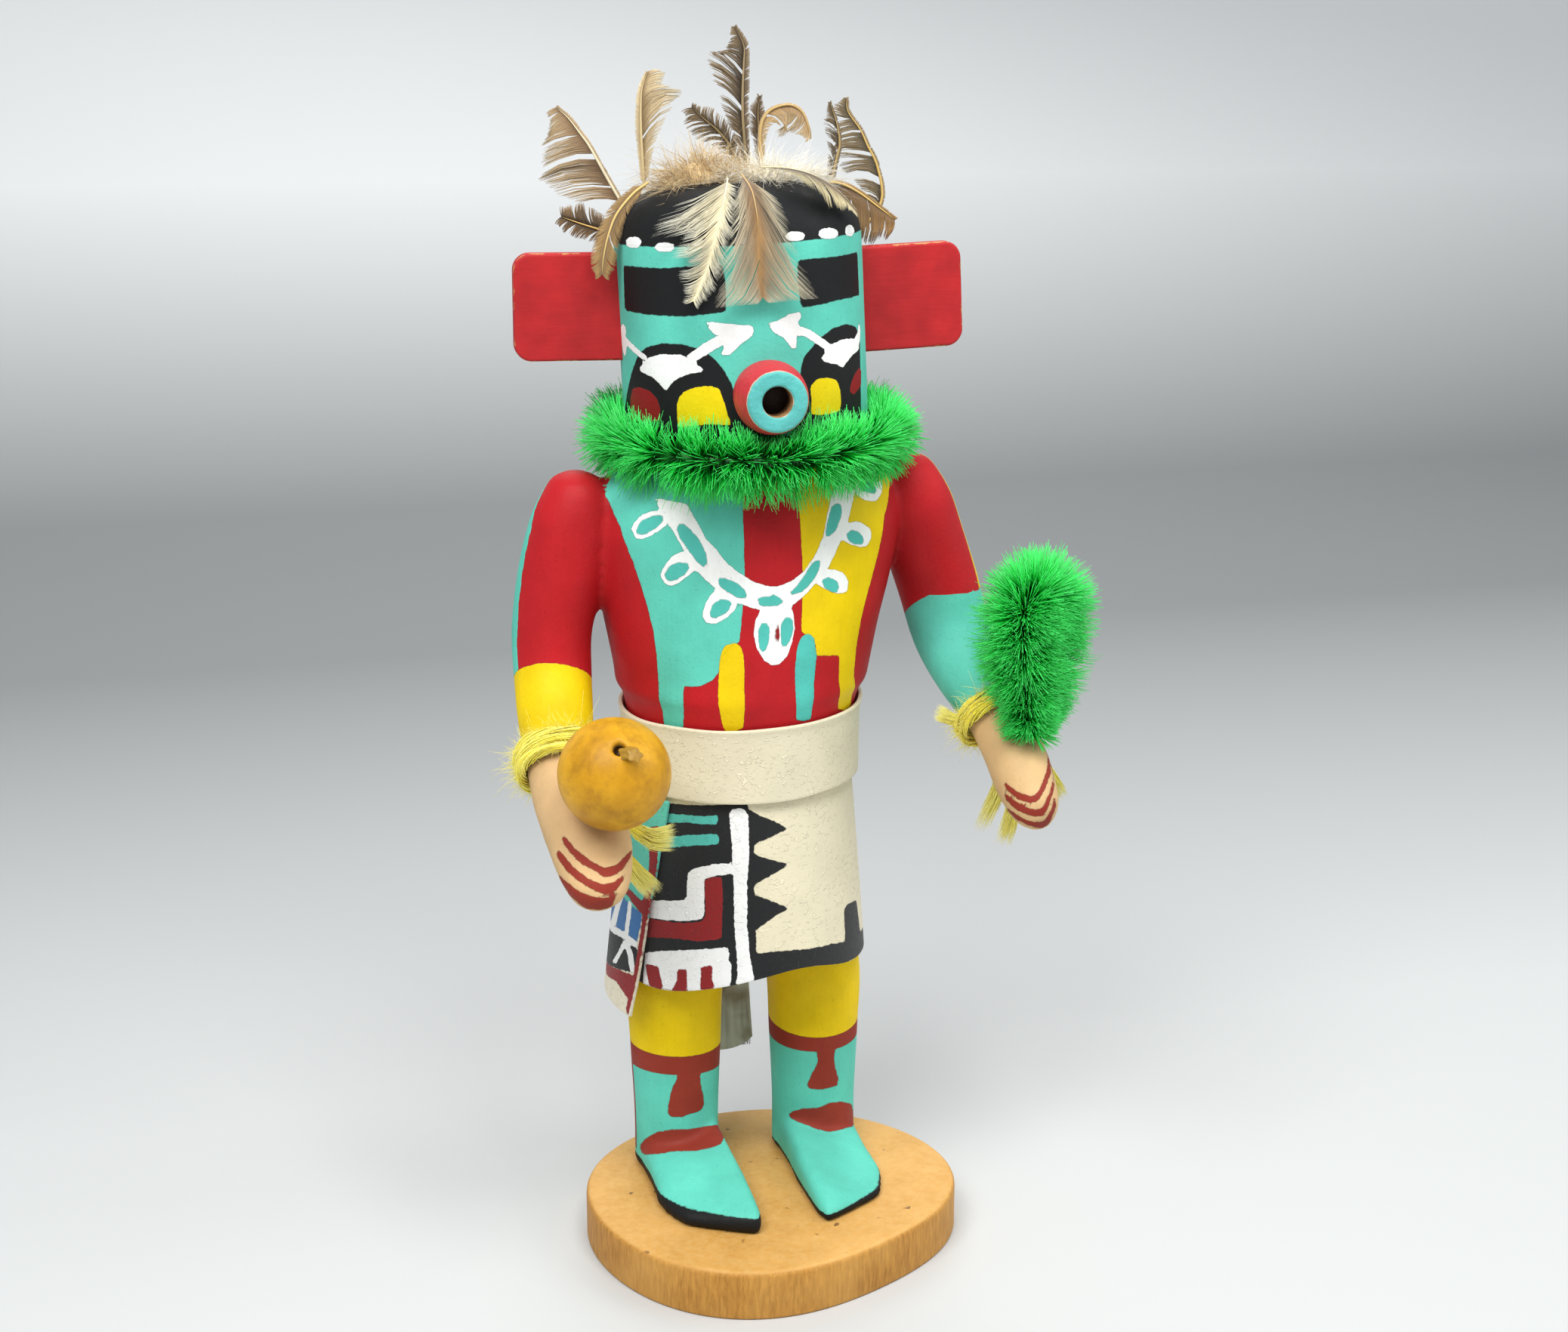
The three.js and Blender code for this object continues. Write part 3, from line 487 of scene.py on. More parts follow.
def as_seen(points):
    """Points on the photograph, in millimetres at the doll's distance"""
    turned = (np.atleast_2d(points) - EYE) @ np.array(camera.matrix_world.to_3x3())
    return DOLL_AWAY * np.stack([turned[:, 0] / -turned[:, 2], turned[:, 1] / -turned[:, 2]], 1)


def rounded(outline, cut=0.35):
    """An outline whose corners are a little soft, as a brush leaves them"""
    a = np.asarray(outline, float)
    b = np.roll(a, -1, 0)
    share = np.minimum(0.3, cut / (np.linalg.norm(b - a, axis=1, keepdims=True) + 1e-9))
    return np.stack([a + share * (b - a), b - share * (b - a)], 1).reshape(-1, 2)


def depth_inside(points, outline):
    """How far each point is inside a closed outline, negative outside it"""
    px, py = points.T
    best = np.full(len(points), 1e9)
    inside = np.zeros(len(points), bool)
    for (x0, y0), (x1, y1) in zip(outline, np.roll(outline, -1, 0)):
        dx, dy = x1 - x0, y1 - y0
        t = np.clip(((px - x0) * dx + (py - y0) * dy) / (dx * dx + dy * dy + 1e-12), 0, 1)
        best = np.minimum(best, np.hypot(px - x0 - t * dx, py - y0 - t * dy))
        if dy:
            inside ^= ((y0 > py) != (y1 > py)) & (px < x0 + (py - y0) * dx / dy)
    return np.where(inside, best, -best)


def oval(x, y, wide, high, lean=0.0, points=14):
    """A brushed oval round (x, y), as an outline of the same view"""
    turns = np.linspace(0, math.tau, points, endpoint=False)
    c, s = math.cos(math.radians(lean)), math.sin(math.radians(lean))
    return [(x + wide * math.cos(t) * c - high * math.sin(t) * s,
             y + wide * math.cos(t) * s + high * math.sin(t) * c) for t in turns]


class Painting:
    """The painted layers of one mesh: each layer keeps the greatest depth of its shapes"""

    def __init__(self, mesh):
        self.mesh = mesh
        self.tree = surface_tree(mesh)
        self.points = np.empty(len(mesh.vertices) * 3)
        mesh.vertices.foreach_get("co", self.points)
        self.points = self.points.reshape(-1, 3)
        self.normals = np.empty(len(mesh.vertices) * 3)
        mesh.vertex_normals.foreach_get("vector", self.normals)
        self.normals = self.normals.reshape(-1, 3)
        self.layers = {}

    def lay(self, layer, depth):
        self.layers[layer] = np.maximum(self.layers.get(layer, -9.0), np.clip(depth, -9, 9))

    def shapes(self, layer, view, space, outlines, where=None):
        """Outlines of one view, painted on the part of the mesh that where marks"""
        spots = space(self.points)
        reach = np.full(len(spots), -9.0)
        for outline in outlines:
            drawn = [space(landing(self.tree, view, x, y))[0] for x, y in outline]
            reach = np.maximum(reach, depth_inside(spots, rounded(drawn)))
        self.lay(layer, reach if where is None else np.where(where, reach, -9.0))

    def ring(self, view, points):
        """How far each point is below the plane through three points of a view"""
        a, b, c = (landing(self.tree, view, x, y) for x, y in points)
        normal = np.cross(b - a, c - a)
        normal *= np.sign(normal[2]) / np.linalg.norm(normal)
        return (a - self.points) @ normal

    def store(self):
        for name, depth in self.layers.items():
            keep(self.mesh, name, depth)


figure = Painting(figure_mesh)
print("painting on", len(figure.points), "points")

# %% Parts of the carving
x, y, z = figure.points.T
nx, ny = figure.normals.T[:2]
seen = ((EYE - figure.points) * figure.normals).sum(1) > 0
is_head = on_head(figure.points)[:, 1] > 209.4
is_arm = (np.abs(x) > 37.5) & (z < 166) & ~is_head
is_leg = (z < 80) & ~is_arm
is_trunk = ~is_head & ~is_arm & ~is_leg
print("head", is_head.sum(), "arms", is_arm.sum(), "legs", is_leg.sum(), "trunk", is_trunk.sum())

# %% [markdown]
# ### The mask
# A turquoise field under a black crown with a row of white dots, two black blocks, black arches
# round the eyes with white, yellow and dark red in them, and white arrows.
# %% Mask outlines
LEFT_EYE = [(446, 600), (446, 575), (455, 510), (470, 450), (490, 400), (515, 380), (560, 368), (620, 370),
            (680, 385), (720, 410), (755, 450), (780, 495), (800, 550), (822, 600), (880, 650), (960, 660),
            (1000, 610), (1060, 600), (1060, 720), (446, 720)]
RIGHT_EYE = [(1000, 440), (1010, 410), (1030, 385), (1060, 350), (1100, 320), (1140, 307), (1170, 315),
             (1184, 345), (1187, 600), (1060, 700), (1000, 650), (990, 560)]
BLOCKS = [
    [(441, 122), (500, 128), (560, 132), (640, 126), (752, 122), (762, 180), (762, 268), (730, 272),
     (640, 282), (560, 280), (500, 274), (445, 262)],
    [(988, 105), (1060, 100), (1120, 93), (1176, 80), (1182, 215), (1120, 230), (1060, 245), (1000, 255),
     (990, 180)],
]
EYE_WHITES = [
    [(487, 452), (520, 412), (560, 402), (620, 403), (650, 420), (680, 440), (702, 458), (650, 462),
     (610, 478), (590, 495), (574, 519), (555, 495), (530, 472), (505, 462)],
    [(1060, 418), (1080, 390), (1095, 370), (1130, 355), (1165, 352), (1178, 365), (1183, 385),
     (1160, 405), (1140, 430), (1130, 445), (1110, 432), (1085, 430)],
]
ARROWS = [
    [(635, 412), (690, 370), (735, 345), (775, 335), (790, 345), (760, 370), (665, 425), (640, 425)],
    [(700, 302), (712, 300), (790, 308), (846, 312), (853, 338), (810, 370), (775, 405), (745, 406),
     (757, 382), (772, 355), (735, 345), (708, 322)],
    [(505, 422), (515, 408), (485, 385), (460, 360), (445, 345), (438, 358), (465, 388), (490, 410)],
    [(427, 345), (434, 312), (440, 305), (450, 322), (447, 345), (452, 370), (447, 410),
     (440, 400), (436, 370)],
    [(890, 305), (930, 296), (962, 275), (998, 268), (1000, 290), (982, 305), (1010, 322), (985, 345),
     (985, 385), (972, 385), (945, 350), (915, 335)],
    [(985, 312), (1020, 320), (1060, 348), (1095, 372), (1080, 392), (1050, 370), (1010, 345), (982, 340)],
    [(1166, 356), (1178, 330), (1181, 300), (1186, 320), (1185, 360), (1180, 372), (1170, 372)],
]
EYE_REDS = [
    [(462, 612), (463, 540), (470, 510), (490, 505), (525, 518), (548, 545), (556, 575), (556, 612)],
    [(1155, 500), (1165, 470), (1180, 445), (1188, 450), (1188, 500), (1165, 530), (1153, 522)],
]
EYE_YELLOWS = [
    [(612, 632), (608, 570), (612, 545), (630, 520), (670, 505), (710, 502), (740, 508), (755, 545),
     (768, 590), (781, 625), (700, 622), (650, 630)],
    [(1030, 590), (1033, 540), (1028, 505), (1045, 482), (1080, 475), (1110, 482), (1122, 510),
     (1126, 560), (1120, 582), (1060, 594)],
]
DOTS = [oval(472, 50, 26, 18), oval(571, 65, 34, 15), oval(690, 56, 32, 14), oval(835, 46, 32, 14),
        oval(980, 31, 33, 16), oval(1085, 22, 33, 18), oval(1152, 13, 15, 19)]

# %% Paint the mask
unrolled = on_head(figure.points)
crown = landing(figure.tree, "head", 720, 62)
crown_z = on_head(crown)[0, 1]
back = np.abs(unrolled[:, 0]) / HEAD_RADIUS
figure.lay("turquoise", np.where(is_head, 9.0, -9.0))
figure.lay("black", np.where(is_head, unrolled[:, 1] - crown_z, -9.0))
figure.shapes("black", "head", on_head, [LEFT_EYE, RIGHT_EYE, *BLOCKS], is_head)
back_block = np.minimum(back - 2.25, 3.0 - back) * HEAD_RADIUS
block_band = np.minimum(crown_z - 6 - unrolled[:, 1], unrolled[:, 1] - (crown_z - 18))
figure.lay("black", np.where(is_head, np.minimum(back_block, block_band), -9.0))
figure.shapes("white", "head", on_head, [*EYE_WHITES, *ARROWS], is_head)
figure.shapes("white", "head", on_head, DOTS, is_head)
turns = np.radians(np.arange(100, 261, 16))
for turn in turns:
    way = (np.degrees(np.arctan2(np.sin(unrolled[:, 0] / HEAD_RADIUS - turn),
                                 np.cos(unrolled[:, 0] / HEAD_RADIUS - turn))))
    spot = np.hypot(np.radians(way) * HEAD_RADIUS / 2.7, (unrolled[:, 1] - crown_z) / 1.5)
    figure.lay("white", np.where(is_head, 1.6 * (1 - spot), -9.0))
figure.shapes("bright_yellow", "head", on_head, EYE_YELLOWS, is_head)
figure.shapes("deep_red", "head", on_head, EYE_REDS, is_head)
print("crown starts at", round(crown_z, 1))

# %% [markdown]
# ### The chest
# A red ground with a turquoise panel and a yellow one, two drips of the other colour, and a white
# necklace whose stones are turquoise. A narrow seam shows at the back of each arm, where the
# panel's colour goes on.
# %% Chest outlines
PANEL_TURQUOISE = [(340, 30), (355, 78), (395, 150), (430, 230), (470, 340), (510, 460), (535, 560),
                   (545, 640), (552, 740), (560, 800), (570, 862), (600, 872), (628, 872), (630, 800),
                   (630, 733), (680, 735), (720, 715), (742, 690), (750, 640), (785, 600), (805, 598),
                   (815, 500), (822, 400), (820, 280), (815, 150), (810, 30)]
PANEL_YELLOW = [(985, 30), (985, 120), (995, 200), (1000, 280), (1005, 380), (1003, 480), (1000, 560),
                (1045, 600), (1048, 638), (1120, 636), (1118, 720), (1115, 805), (1135, 810), (1155, 795),
                (1165, 700), (1172, 620), (1185, 540), (1200, 470), (1225, 380), (1245, 300), (1260, 200),
                (1275, 120), (1280, 30)]
DRIP_YELLOW = [(745, 640), (760, 605), (790, 598), (812, 610), (820, 650), (822, 800), (818, 865), (790, 877),
               (760, 875), (750, 850), (738, 770), (740, 700)]
DRIP_TURQUOISE = [(985, 840), (983, 780), (980, 700), (985, 620), (1000, 578), (1020, 567), (1040, 580),
                  (1048, 640), (1040, 720), (1035, 800), (1030, 838), (1005, 843)]
NECKLACE = [(540, 140), (640, 160), (660, 195), (680, 230), (700, 270), (730, 300), (765, 345), (800, 375),
            (850, 405), (890, 418), (930, 420), (975, 400), (1010, 370), (1045, 320), (1070, 260),
            (1080, 200), (1095, 130), (1110, 70), (1178, 70), (1165, 130), (1150, 200), (1130, 260),
            (1105, 320), (1080, 370), (1050, 400), (1020, 440), (985, 470), (950, 490), (900, 495),
            (850, 490), (800, 470), (750, 440), (710, 410), (670, 370), (640, 320), (600, 250), (560, 190)]
PENDANTS = [
    [(465, 235), (490, 200), (530, 180), (570, 185), (590, 205), (575, 230), (530, 258), (500, 272),
     (478, 268)],
    [(555, 385), (575, 345), (600, 320), (640, 305), (665, 330), (675, 360), (640, 390), (600, 418),
     (575, 415)],
    [(688, 510), (700, 470), (720, 440), (750, 430), (790, 460), (800, 482), (770, 515), (735, 537),
     (700, 535)],
    [(850, 570), (855, 530), (870, 495), (900, 480), (960, 475), (975, 500), (980, 550), (970, 600),
     (955, 640), (930, 665), (905, 668), (880, 650), (860, 615)],
    [(1040, 405), (1060, 370), (1100, 365), (1130, 375), (1148, 400), (1145, 435), (1120, 443), (1090, 435),
     (1062, 420)],
    [(1115, 245), (1140, 220), (1180, 215), (1215, 235), (1222, 260), (1210, 290), (1185, 297), (1150, 285),
     (1120, 268)],
    [(1160, 95), (1180, 78), (1230, 75), (1255, 95), (1250, 130), (1235, 152), (1205, 150), (1172, 132)],
]
STONES = [
    [(607, 235), (622, 217), (650, 240), (680, 275), (700, 315), (705, 345), (698, 362), (670, 340),
     (645, 305), (620, 270)],
    [(738, 400), (748, 390), (800, 410), (825, 435), (830, 458), (800, 455), (765, 435), (745, 420)],
    [(860, 460), (870, 452), (900, 452), (912, 443), (930, 455), (945, 465), (935, 478), (900, 482),
     (870, 480)],
    [(962, 440), (985, 420), (1010, 385), (1035, 345), (1058, 335), (1060, 355), (1045, 390), (1025, 415),
     (1000, 438), (970, 445)],
    [(1075, 260), (1083, 215), (1095, 170), (1115, 155), (1128, 170), (1125, 200), (1110, 240), (1090, 262)],
    [(480, 245), (495, 215), (530, 198), (560, 195), (568, 210), (545, 235), (510, 255), (488, 258)],
    [(568, 385), (585, 355), (610, 345), (640, 345), (650, 355), (635, 380), (605, 400), (580, 402)],
    [(712, 505), (722, 475), (745, 460), (775, 462), (782, 480), (760, 505), (730, 520), (715, 518)],
    [(866, 590), (865, 560), (875, 535), (890, 532), (900, 550), (898, 590), (890, 620), (878, 628),
     (868, 612)],
    [(935, 545), (945, 520), (960, 515), (972, 525), (975, 555), (965, 590), (950, 610), (938, 606)],
    [(1065, 400), (1080, 390), (1110, 400), (1120, 425), (1110, 440), (1085, 432), (1068, 418)],
    [(1142, 255), (1155, 242), (1180, 248), (1197, 268), (1195, 287), (1170, 287), (1148, 275)],
    [(1178, 100), (1195, 85), (1225, 95), (1238, 115), (1228, 128), (1200, 122), (1182, 112)],
]
SLIT = [(917, 560), (924, 528), (932, 560), (930, 590), (923, 605), (917, 585)]

# %% Paint the chest
figure.shapes("turquoise", "chest", on_trunk, [PANEL_TURQUOISE], is_trunk & (ny < 0.3))
figure.shapes("yellow", "chest", on_trunk, [PANEL_YELLOW, DRIP_YELLOW], is_trunk & (ny < 0.3))
figure.shapes("white", "chest", on_trunk, [NECKLACE, *PENDANTS], is_trunk & (ny < 0.3))
figure.shapes("stones", "chest", on_trunk, [DRIP_TURQUOISE, *STONES], is_trunk & (ny < 0.3))
figure.shapes("deep_red", "chest", on_trunk, [SLIT], is_trunk & (ny < 0.3))
for layer in ("turquoise", "yellow"):
    within = np.where(is_trunk & (z > 185), 36.5 - np.abs(x), 9.0)
    figure.layers[layer] = np.minimum(figure.layers[layer], within)
to_eye = EYE - figure.points
facing = (to_eye * figure.normals).sum(1) / np.linalg.norm(to_eye, axis=1)
below_a = figure.ring("chest", [(105, 688), (215, 662), (335, 700)])
below_b = figure.ring("chest", [(1362, 468), (1430, 436), (1552, 419)])


def arm_strip(hand, below, heights, turned):
    """A band down the back of an arm: turned says how edge-on its seam is at each height"""
    past_seam = 12 * (np.interp(z, heights, turned) - facing)
    outer = hand * x - 44 + 0.55 * np.clip(z - 178, 0, 24)
    depth = np.minimum(np.minimum(past_seam, 12 * hand * nx), np.minimum(outer, -below))
    return np.where(is_trunk | is_arm, depth, -9.0)


figure.lay("turquoise", arm_strip(-1, below_a, (160, 187, 194, 199), (0.48, 0.4, 0.2, 0.05)))
figure.lay("yellow", arm_strip(1, below_b, (158, 168, 180, 192, 199), (0.42, 0.22, 0.12, 0.14, 0.1)))
print("chest painted")

# %% [markdown]
# ### Forearms and hands
# One forearm is yellow and the other turquoise, up to a slanting edge below the elbow. The hands
# are left the colour of primed wood, with three dark red bands across the fingers.
# %% Hand outlines
GOURD_HAND_BANDS = [
    [(272, 590), (285, 598), (320, 640), (370, 680), (420, 705), (460, 695), (515, 640), (510, 665),
     (480, 712), (440, 735), (415, 735), (390, 715), (340, 690), (300, 650), (275, 615)],
    [(250, 640), (262, 643), (310, 700), (360, 740), (410, 762), (450, 755), (492, 722), (482, 750),
     (455, 785), (425, 797), (380, 780), (330, 750), (285, 710), (258, 672)],
    [(258, 726), (285, 750), (330, 785), (380, 805), (430, 808), (465, 785), (450, 850), (400, 850),
     (350, 845), (300, 810), (262, 770)],
]
BRUSH_HAND_BANDS = [
    [(558, 1175), (575, 1190), (620, 1225), (680, 1248), (715, 1245), (740, 1200), (770, 1120), (790, 1040),
     (795, 980), (808, 982), (808, 1050), (790, 1130), (760, 1210), (730, 1268), (700, 1283), (640, 1270),
     (590, 1235), (562, 1205)],
    [(555, 1225), (575, 1245), (630, 1285), (700, 1315), (745, 1312), (780, 1240), (805, 1150), (818, 1060),
     (820, 1120), (805, 1210), (780, 1290), (755, 1345), (700, 1348), (620, 1318), (565, 1265)],
    [(565, 1305), (600, 1325), (660, 1365), (715, 1378), (755, 1375), (790, 1320), (808, 1250), (815, 1300),
     (780, 1385), (745, 1412), (700, 1400), (620, 1365), (570, 1330)],
]

# %% Paint arms and hands
arm_a, arm_b = is_arm & (x < 0), is_arm & (x > 0)
figure.lay("yellow", np.where(arm_a, below_a, -9.0))
figure.lay("turquoise", np.where(arm_b, below_b, -9.0))
hand_a = np.where(arm_a, (np.array((0, -0.79, -0.62)) @ (figure.points - (-52.2, -21, 132.6)).T), -9.0)
hand_b = np.where(arm_b, (np.array((0.1, -0.79, -0.62)) @ (figure.points - (61.2, -22, 136)).T), -9.0)
figure.lay("primed", np.maximum(hand_a, hand_b))
figure.shapes("rust", "kilt", as_seen, GOURD_HAND_BANDS, arm_a & seen)
figure.shapes("rust", "brush", as_seen, BRUSH_HAND_BANDS, arm_b & seen)
print("hands painted")

# %% [markdown]
# ### Legs and feet
# Yellow thighs, a brown band with a tassel in front, turquoise boots with a brown oval over the
# instep, and black soles.
# %% Leg outlines
TASSELS = [
    [(352, 530), (438, 528), (440, 580), (455, 650), (453, 672), (440, 690), (410, 700), (370, 715),
     (330, 717), (311, 705), (315, 670), (325, 610), (347, 568)],
    [(904, 445), (970, 440), (972, 510), (986, 560), (985, 590), (950, 600), (915, 607), (875, 605),
     (862, 590), (880, 550), (906, 500)],
]
OVALS = [
    [(198, 832), (225, 800), (270, 775), (340, 765), (400, 765), (450, 755), (510, 745), (530, 770),
     (542, 795), (520, 825), (470, 840), (420, 850), (350, 850), (270, 862), (215, 866)],
    [(790, 712), (800, 695), (850, 682), (910, 680), (950, 660), (1000, 655), (1040, 665), (1070, 700),
     (1084, 726), (1050, 750), (1000, 765), (950, 775), (900, 762), (840, 740), (805, 724)],
]

# %% Paint legs and feet
leg_a, leg_b = is_leg & (x < 0), is_leg & (x > 0)
thigh_a = figure.ring("feet", [(190, 440), (300, 475), (515, 428)])
thigh_b = figure.ring("feet", [(728, 340), (850, 398), (1046, 354)])
boot_a = figure.ring("feet", [(200, 521), (330, 548), (514, 508)])
boot_b = figure.ring("feet", [(735, 410), (840, 452), (1040, 414)])
figure.lay("yellow", np.where(leg_a, -thigh_a, np.where(leg_b, -thigh_b, -9.0)))
band = np.where(leg_a, np.minimum(thigh_a, -boot_a), np.minimum(thigh_b, -boot_b))
figure.lay("rust", np.where(is_leg, band, -9.0))
figure.lay("turquoise", np.where(leg_a, boot_a, np.where(leg_b, boot_b, -9.0)))
figure.shapes("rust", "feet", as_seen, [TASSELS[0], OVALS[0]], leg_a & seen)
figure.shapes("rust", "feet", as_seen, [TASSELS[1], OVALS[1]], leg_b & seen)
lacing = np.abs(np.arctan2(y - 0.4, np.abs(x) - 19)) * 11.2
figure.lay("rust", np.where(is_leg & (z < 46) & (z > 17), 0.95 - lacing, -9.0))
sole_edge = np.where(x < 0, 16.0 + 0.025 * np.clip(-y - 8, 0, 40), 15.0)
figure.lay("black", np.where(is_leg, sole_edge - z, -9.0))
figure.store()
print("layers:", ", ".join(figure.layers))

# %% [markdown]
# ## Paint on wood
# Matte poster paint over bare wood: a fine grain shows through it, brushed colour is never quite
# even, and each coat has a thin raised edge. The stored depths choose the coat, top one last.
# %% Paint
COLOURS = {
    "red": "#b01a20", "turquoise": "#5cc2ae", "yellow": "#e3c205", "primed": "#d0ac7c", "black": "#18191a",
    "white": "#efefec", "stones": "#4fb5a8", "bright_yellow": "#e6cb08", "deep_red": "#8b1a1c",
    "rust": "#8c3225", "blue": "#3a70a8",
}


def coats(recipe, ground, layers, wobble=0.1, dark_edge=0.5):
    """Colour and relief of painted layers over a ground, from the depths stored on the mesh"""
    brush = recipe.noise(900, 2)
    waver = recipe.fit(brush, 0.3, 0.7, -wobble, wobble)
    colour, height = ground, None
    for layer in layers:
        depth = recipe.sum(recipe.attribute(layer), waver)
        cover = recipe.fit(depth, -0.07, 0.07)
        line = recipe.fit(depth, -0.22, -0.02, 0.0, dark_edge)
        colour = recipe.mix(line, colour, (0.03, 0.025, 0.02, 1))
        colour = recipe.mix(cover, colour, tint(COLOURS[layer]))
        height = cover if height is None else recipe.sum(height, cover)
    return colour, height


def uneven(recipe, colour, patch=70, speck=1400, strength=0.13):
    """Brushed paint: slow patches, long fibres of the wood and fine specks"""
    patches = recipe.fit(recipe.noise(patch, 3), 0.3, 0.7, 1 - strength, 1 + strength)
    fibres = recipe.fit(recipe.noise(1, 4, recipe.place((1100, 1100, 120))), 0.3, 0.7, 0.98, 1.02)
    specks = recipe.fit(recipe.noise(speck, 2), 0.66, 0.76, 1.0, 0.78)
    return recipe.shaded(colour, recipe.sum(recipe.sum(patches, fibres, "MULTIPLY"), specks, "MULTIPLY"))


def painted_wood(name, ground, layers):
    recipe = Recipe(name, 0.62, Specular_IOR_Level=0.18)
    colour, height = coats(recipe, tint(ground), layers)
    grain = recipe.fit(recipe.noise(1, 4, recipe.place((1300, 1300, 110))), 0.2, 0.8, 0, 0.3)
    pits = recipe.fit(recipe.noise(1100, 3), 0.2, 0.8, 0, 1.0)
    relief = recipe.sum(recipe.sum(height, grain), pits)
    sheen = recipe.fit(recipe.noise(120, 3), 0.3, 0.7, 0.5, 0.7)
    return recipe.finish(uneven(recipe, colour), relief, 0.00006, 0.9, sheen)


figure_paint = painted_wood("painted_figure", COLOURS["red"], [
    "turquoise", "yellow", "primed", "black", "white", "stones", "bright_yellow", "deep_red", "rust"])
finished("carved_figure", figure_mesh, "painted_wood", figure_paint, "figure")

# %% [markdown]
# ## Ears
# The ears are sawn boards with rounded corners, painted red on all sides. The paint has worn off
# the edges, where tan wood shows.
# %% Ears
EAR_REACH, EAR_HEIGHT, EAR_THICK, EAR_CORNER = 55.9, 26, 4.4, 4.2


def ear_board(hand, centre_z, lean):
    bm = bmesh.new()
    inner = HEAD_RADIUS - 3
    bmesh.ops.create_cube(bm, size=1)
    bmesh.ops.scale(bm, vec=(EAR_REACH - inner, EAR_THICK, EAR_HEIGHT), verts=bm.verts)
    bmesh.ops.translate(bm, vec=((EAR_REACH + inner) / 2, 0, 0), verts=bm.verts)
    corners = [e for e in bm.edges if all(v.co.x > EAR_REACH - 1 for v in e.verts)
               and abs(e.verts[0].co.y - e.verts[1].co.y) > 1]
    bmesh.ops.bevel(bm, geom=corners, offset=EAR_CORNER, segments=10, profile=0.5, material=-1,
                    affect="EDGES")
    rim = [e for e in bm.edges if len(e.link_faces) == 2 and e.calc_face_angle(0) > 1.2]
    bmesh.ops.bevel(bm, geom=rim, offset=0.7, segments=4, profile=0.5, material=-1, affect="EDGES")
    sliced(bm, np.arange(inner + 1, EAR_REACH, 1.0), (1, 0, 0))
    sliced(bm, np.arange(1 - EAR_HEIGHT / 2, EAR_HEIGHT / 2, 1.0), (0, 0, 1))
    half_turn = Matrix.Rotation(0 if hand > 0 else math.pi, 3, "Z")
    bmesh.ops.rotate(bm, matrix=half_turn, verts=bm.verts, cent=(0, 0, 0))
    middle = hand * (EAR_REACH + HEAD_RADIUS) / 2
    set_in = (HEAD_POSE @ Matrix.Translation((middle, 0, centre_z))
              @ Matrix.Rotation(math.radians(lean), 4, "Y") @ Matrix.Translation((-middle, 0, 0)))
    mesh = as_mesh(bm, "ear")
    local = np.array([v.co for v in mesh.vertices])
    away = EAR_REACH - np.abs(local[:, 0])
    square = np.minimum(away, EAR_HEIGHT / 2 - np.abs(local[:, 2]))
    corner = EAR_CORNER - np.hypot(np.maximum(0, EAR_CORNER - away),
                                   np.maximum(0, np.abs(local[:, 2]) - EAR_HEIGHT / 2 + EAR_CORNER))
    at_corner = (away < EAR_CORNER) & (np.abs(local[:, 2]) > EAR_HEIGHT / 2 - EAR_CORNER)
    keep(mesh, "rim", np.minimum(square, np.where(at_corner, corner, square)))
    keep(mesh, "across", np.abs(local[:, 1]) / (EAR_THICK / 2))
    mesh.transform(set_in)
    return mesh


def ear_paint():
    recipe = Recipe("worn_red_paint", 0.6, Specular_IOR_Level=0.35)
    scuffs = recipe.fit(recipe.noise(260, 4, rough=0.7), 0.3, 0.7, -0.3, 0.6)
    near_rim = recipe.sum(recipe.attribute("rim"), scuffs)
    edge = recipe.sum(recipe.attribute("across"), 0.7, "GREATER_THAN")
    bare = recipe.sum(recipe.fit(near_rim, 0.05, 0.3, 1, 0), edge, "MULTIPLY")
    grain = recipe.noise(1, 4, recipe.place((120, 1500, 1300)))
    wood = recipe.mix(grain, tint("#9a6a3c"), tint("#d8a86a"))
    red = recipe.mix(recipe.fit(recipe.noise(160, 4), 0.35, 0.7), tint("#b51c20"), tint("#a4161a"))
    colour = uneven(recipe, recipe.mix(bare, red, wood), strength=0.08)
    relief = recipe.sum(recipe.fit(grain, 0.2, 0.8, 0, 0.5), recipe.fit(bare, 0, 1, 1, 0))
    return recipe.finish(colour, relief, 0.00007, 1.0)


worn_red = ear_paint()
finished("ear_on_gourd_side", ear_board(-1, 242.2, 3.2), "ear_paint", worn_red, "ear_board_a")
finished("ear_on_brush_side", ear_board(1, 239.2, 0), "ear_paint", worn_red, "ear_board_b")

# %% [markdown]
# ## Snout
# The snout is turned: a barrel with a flat ring in front and a drilled bore. Its side is rosy red,
# the ring turquoise, and the paint has worn from the ring's edge and inside the bore. Deeper in the
# bore the wood is painted dark brown as shade.
# %% Snout
SNOUT_HEIGHT, SNOUT_LENGTH, SNOUT_BORE, SNOUT_DEPTH = 221.6, 12.2, 3.6, 9


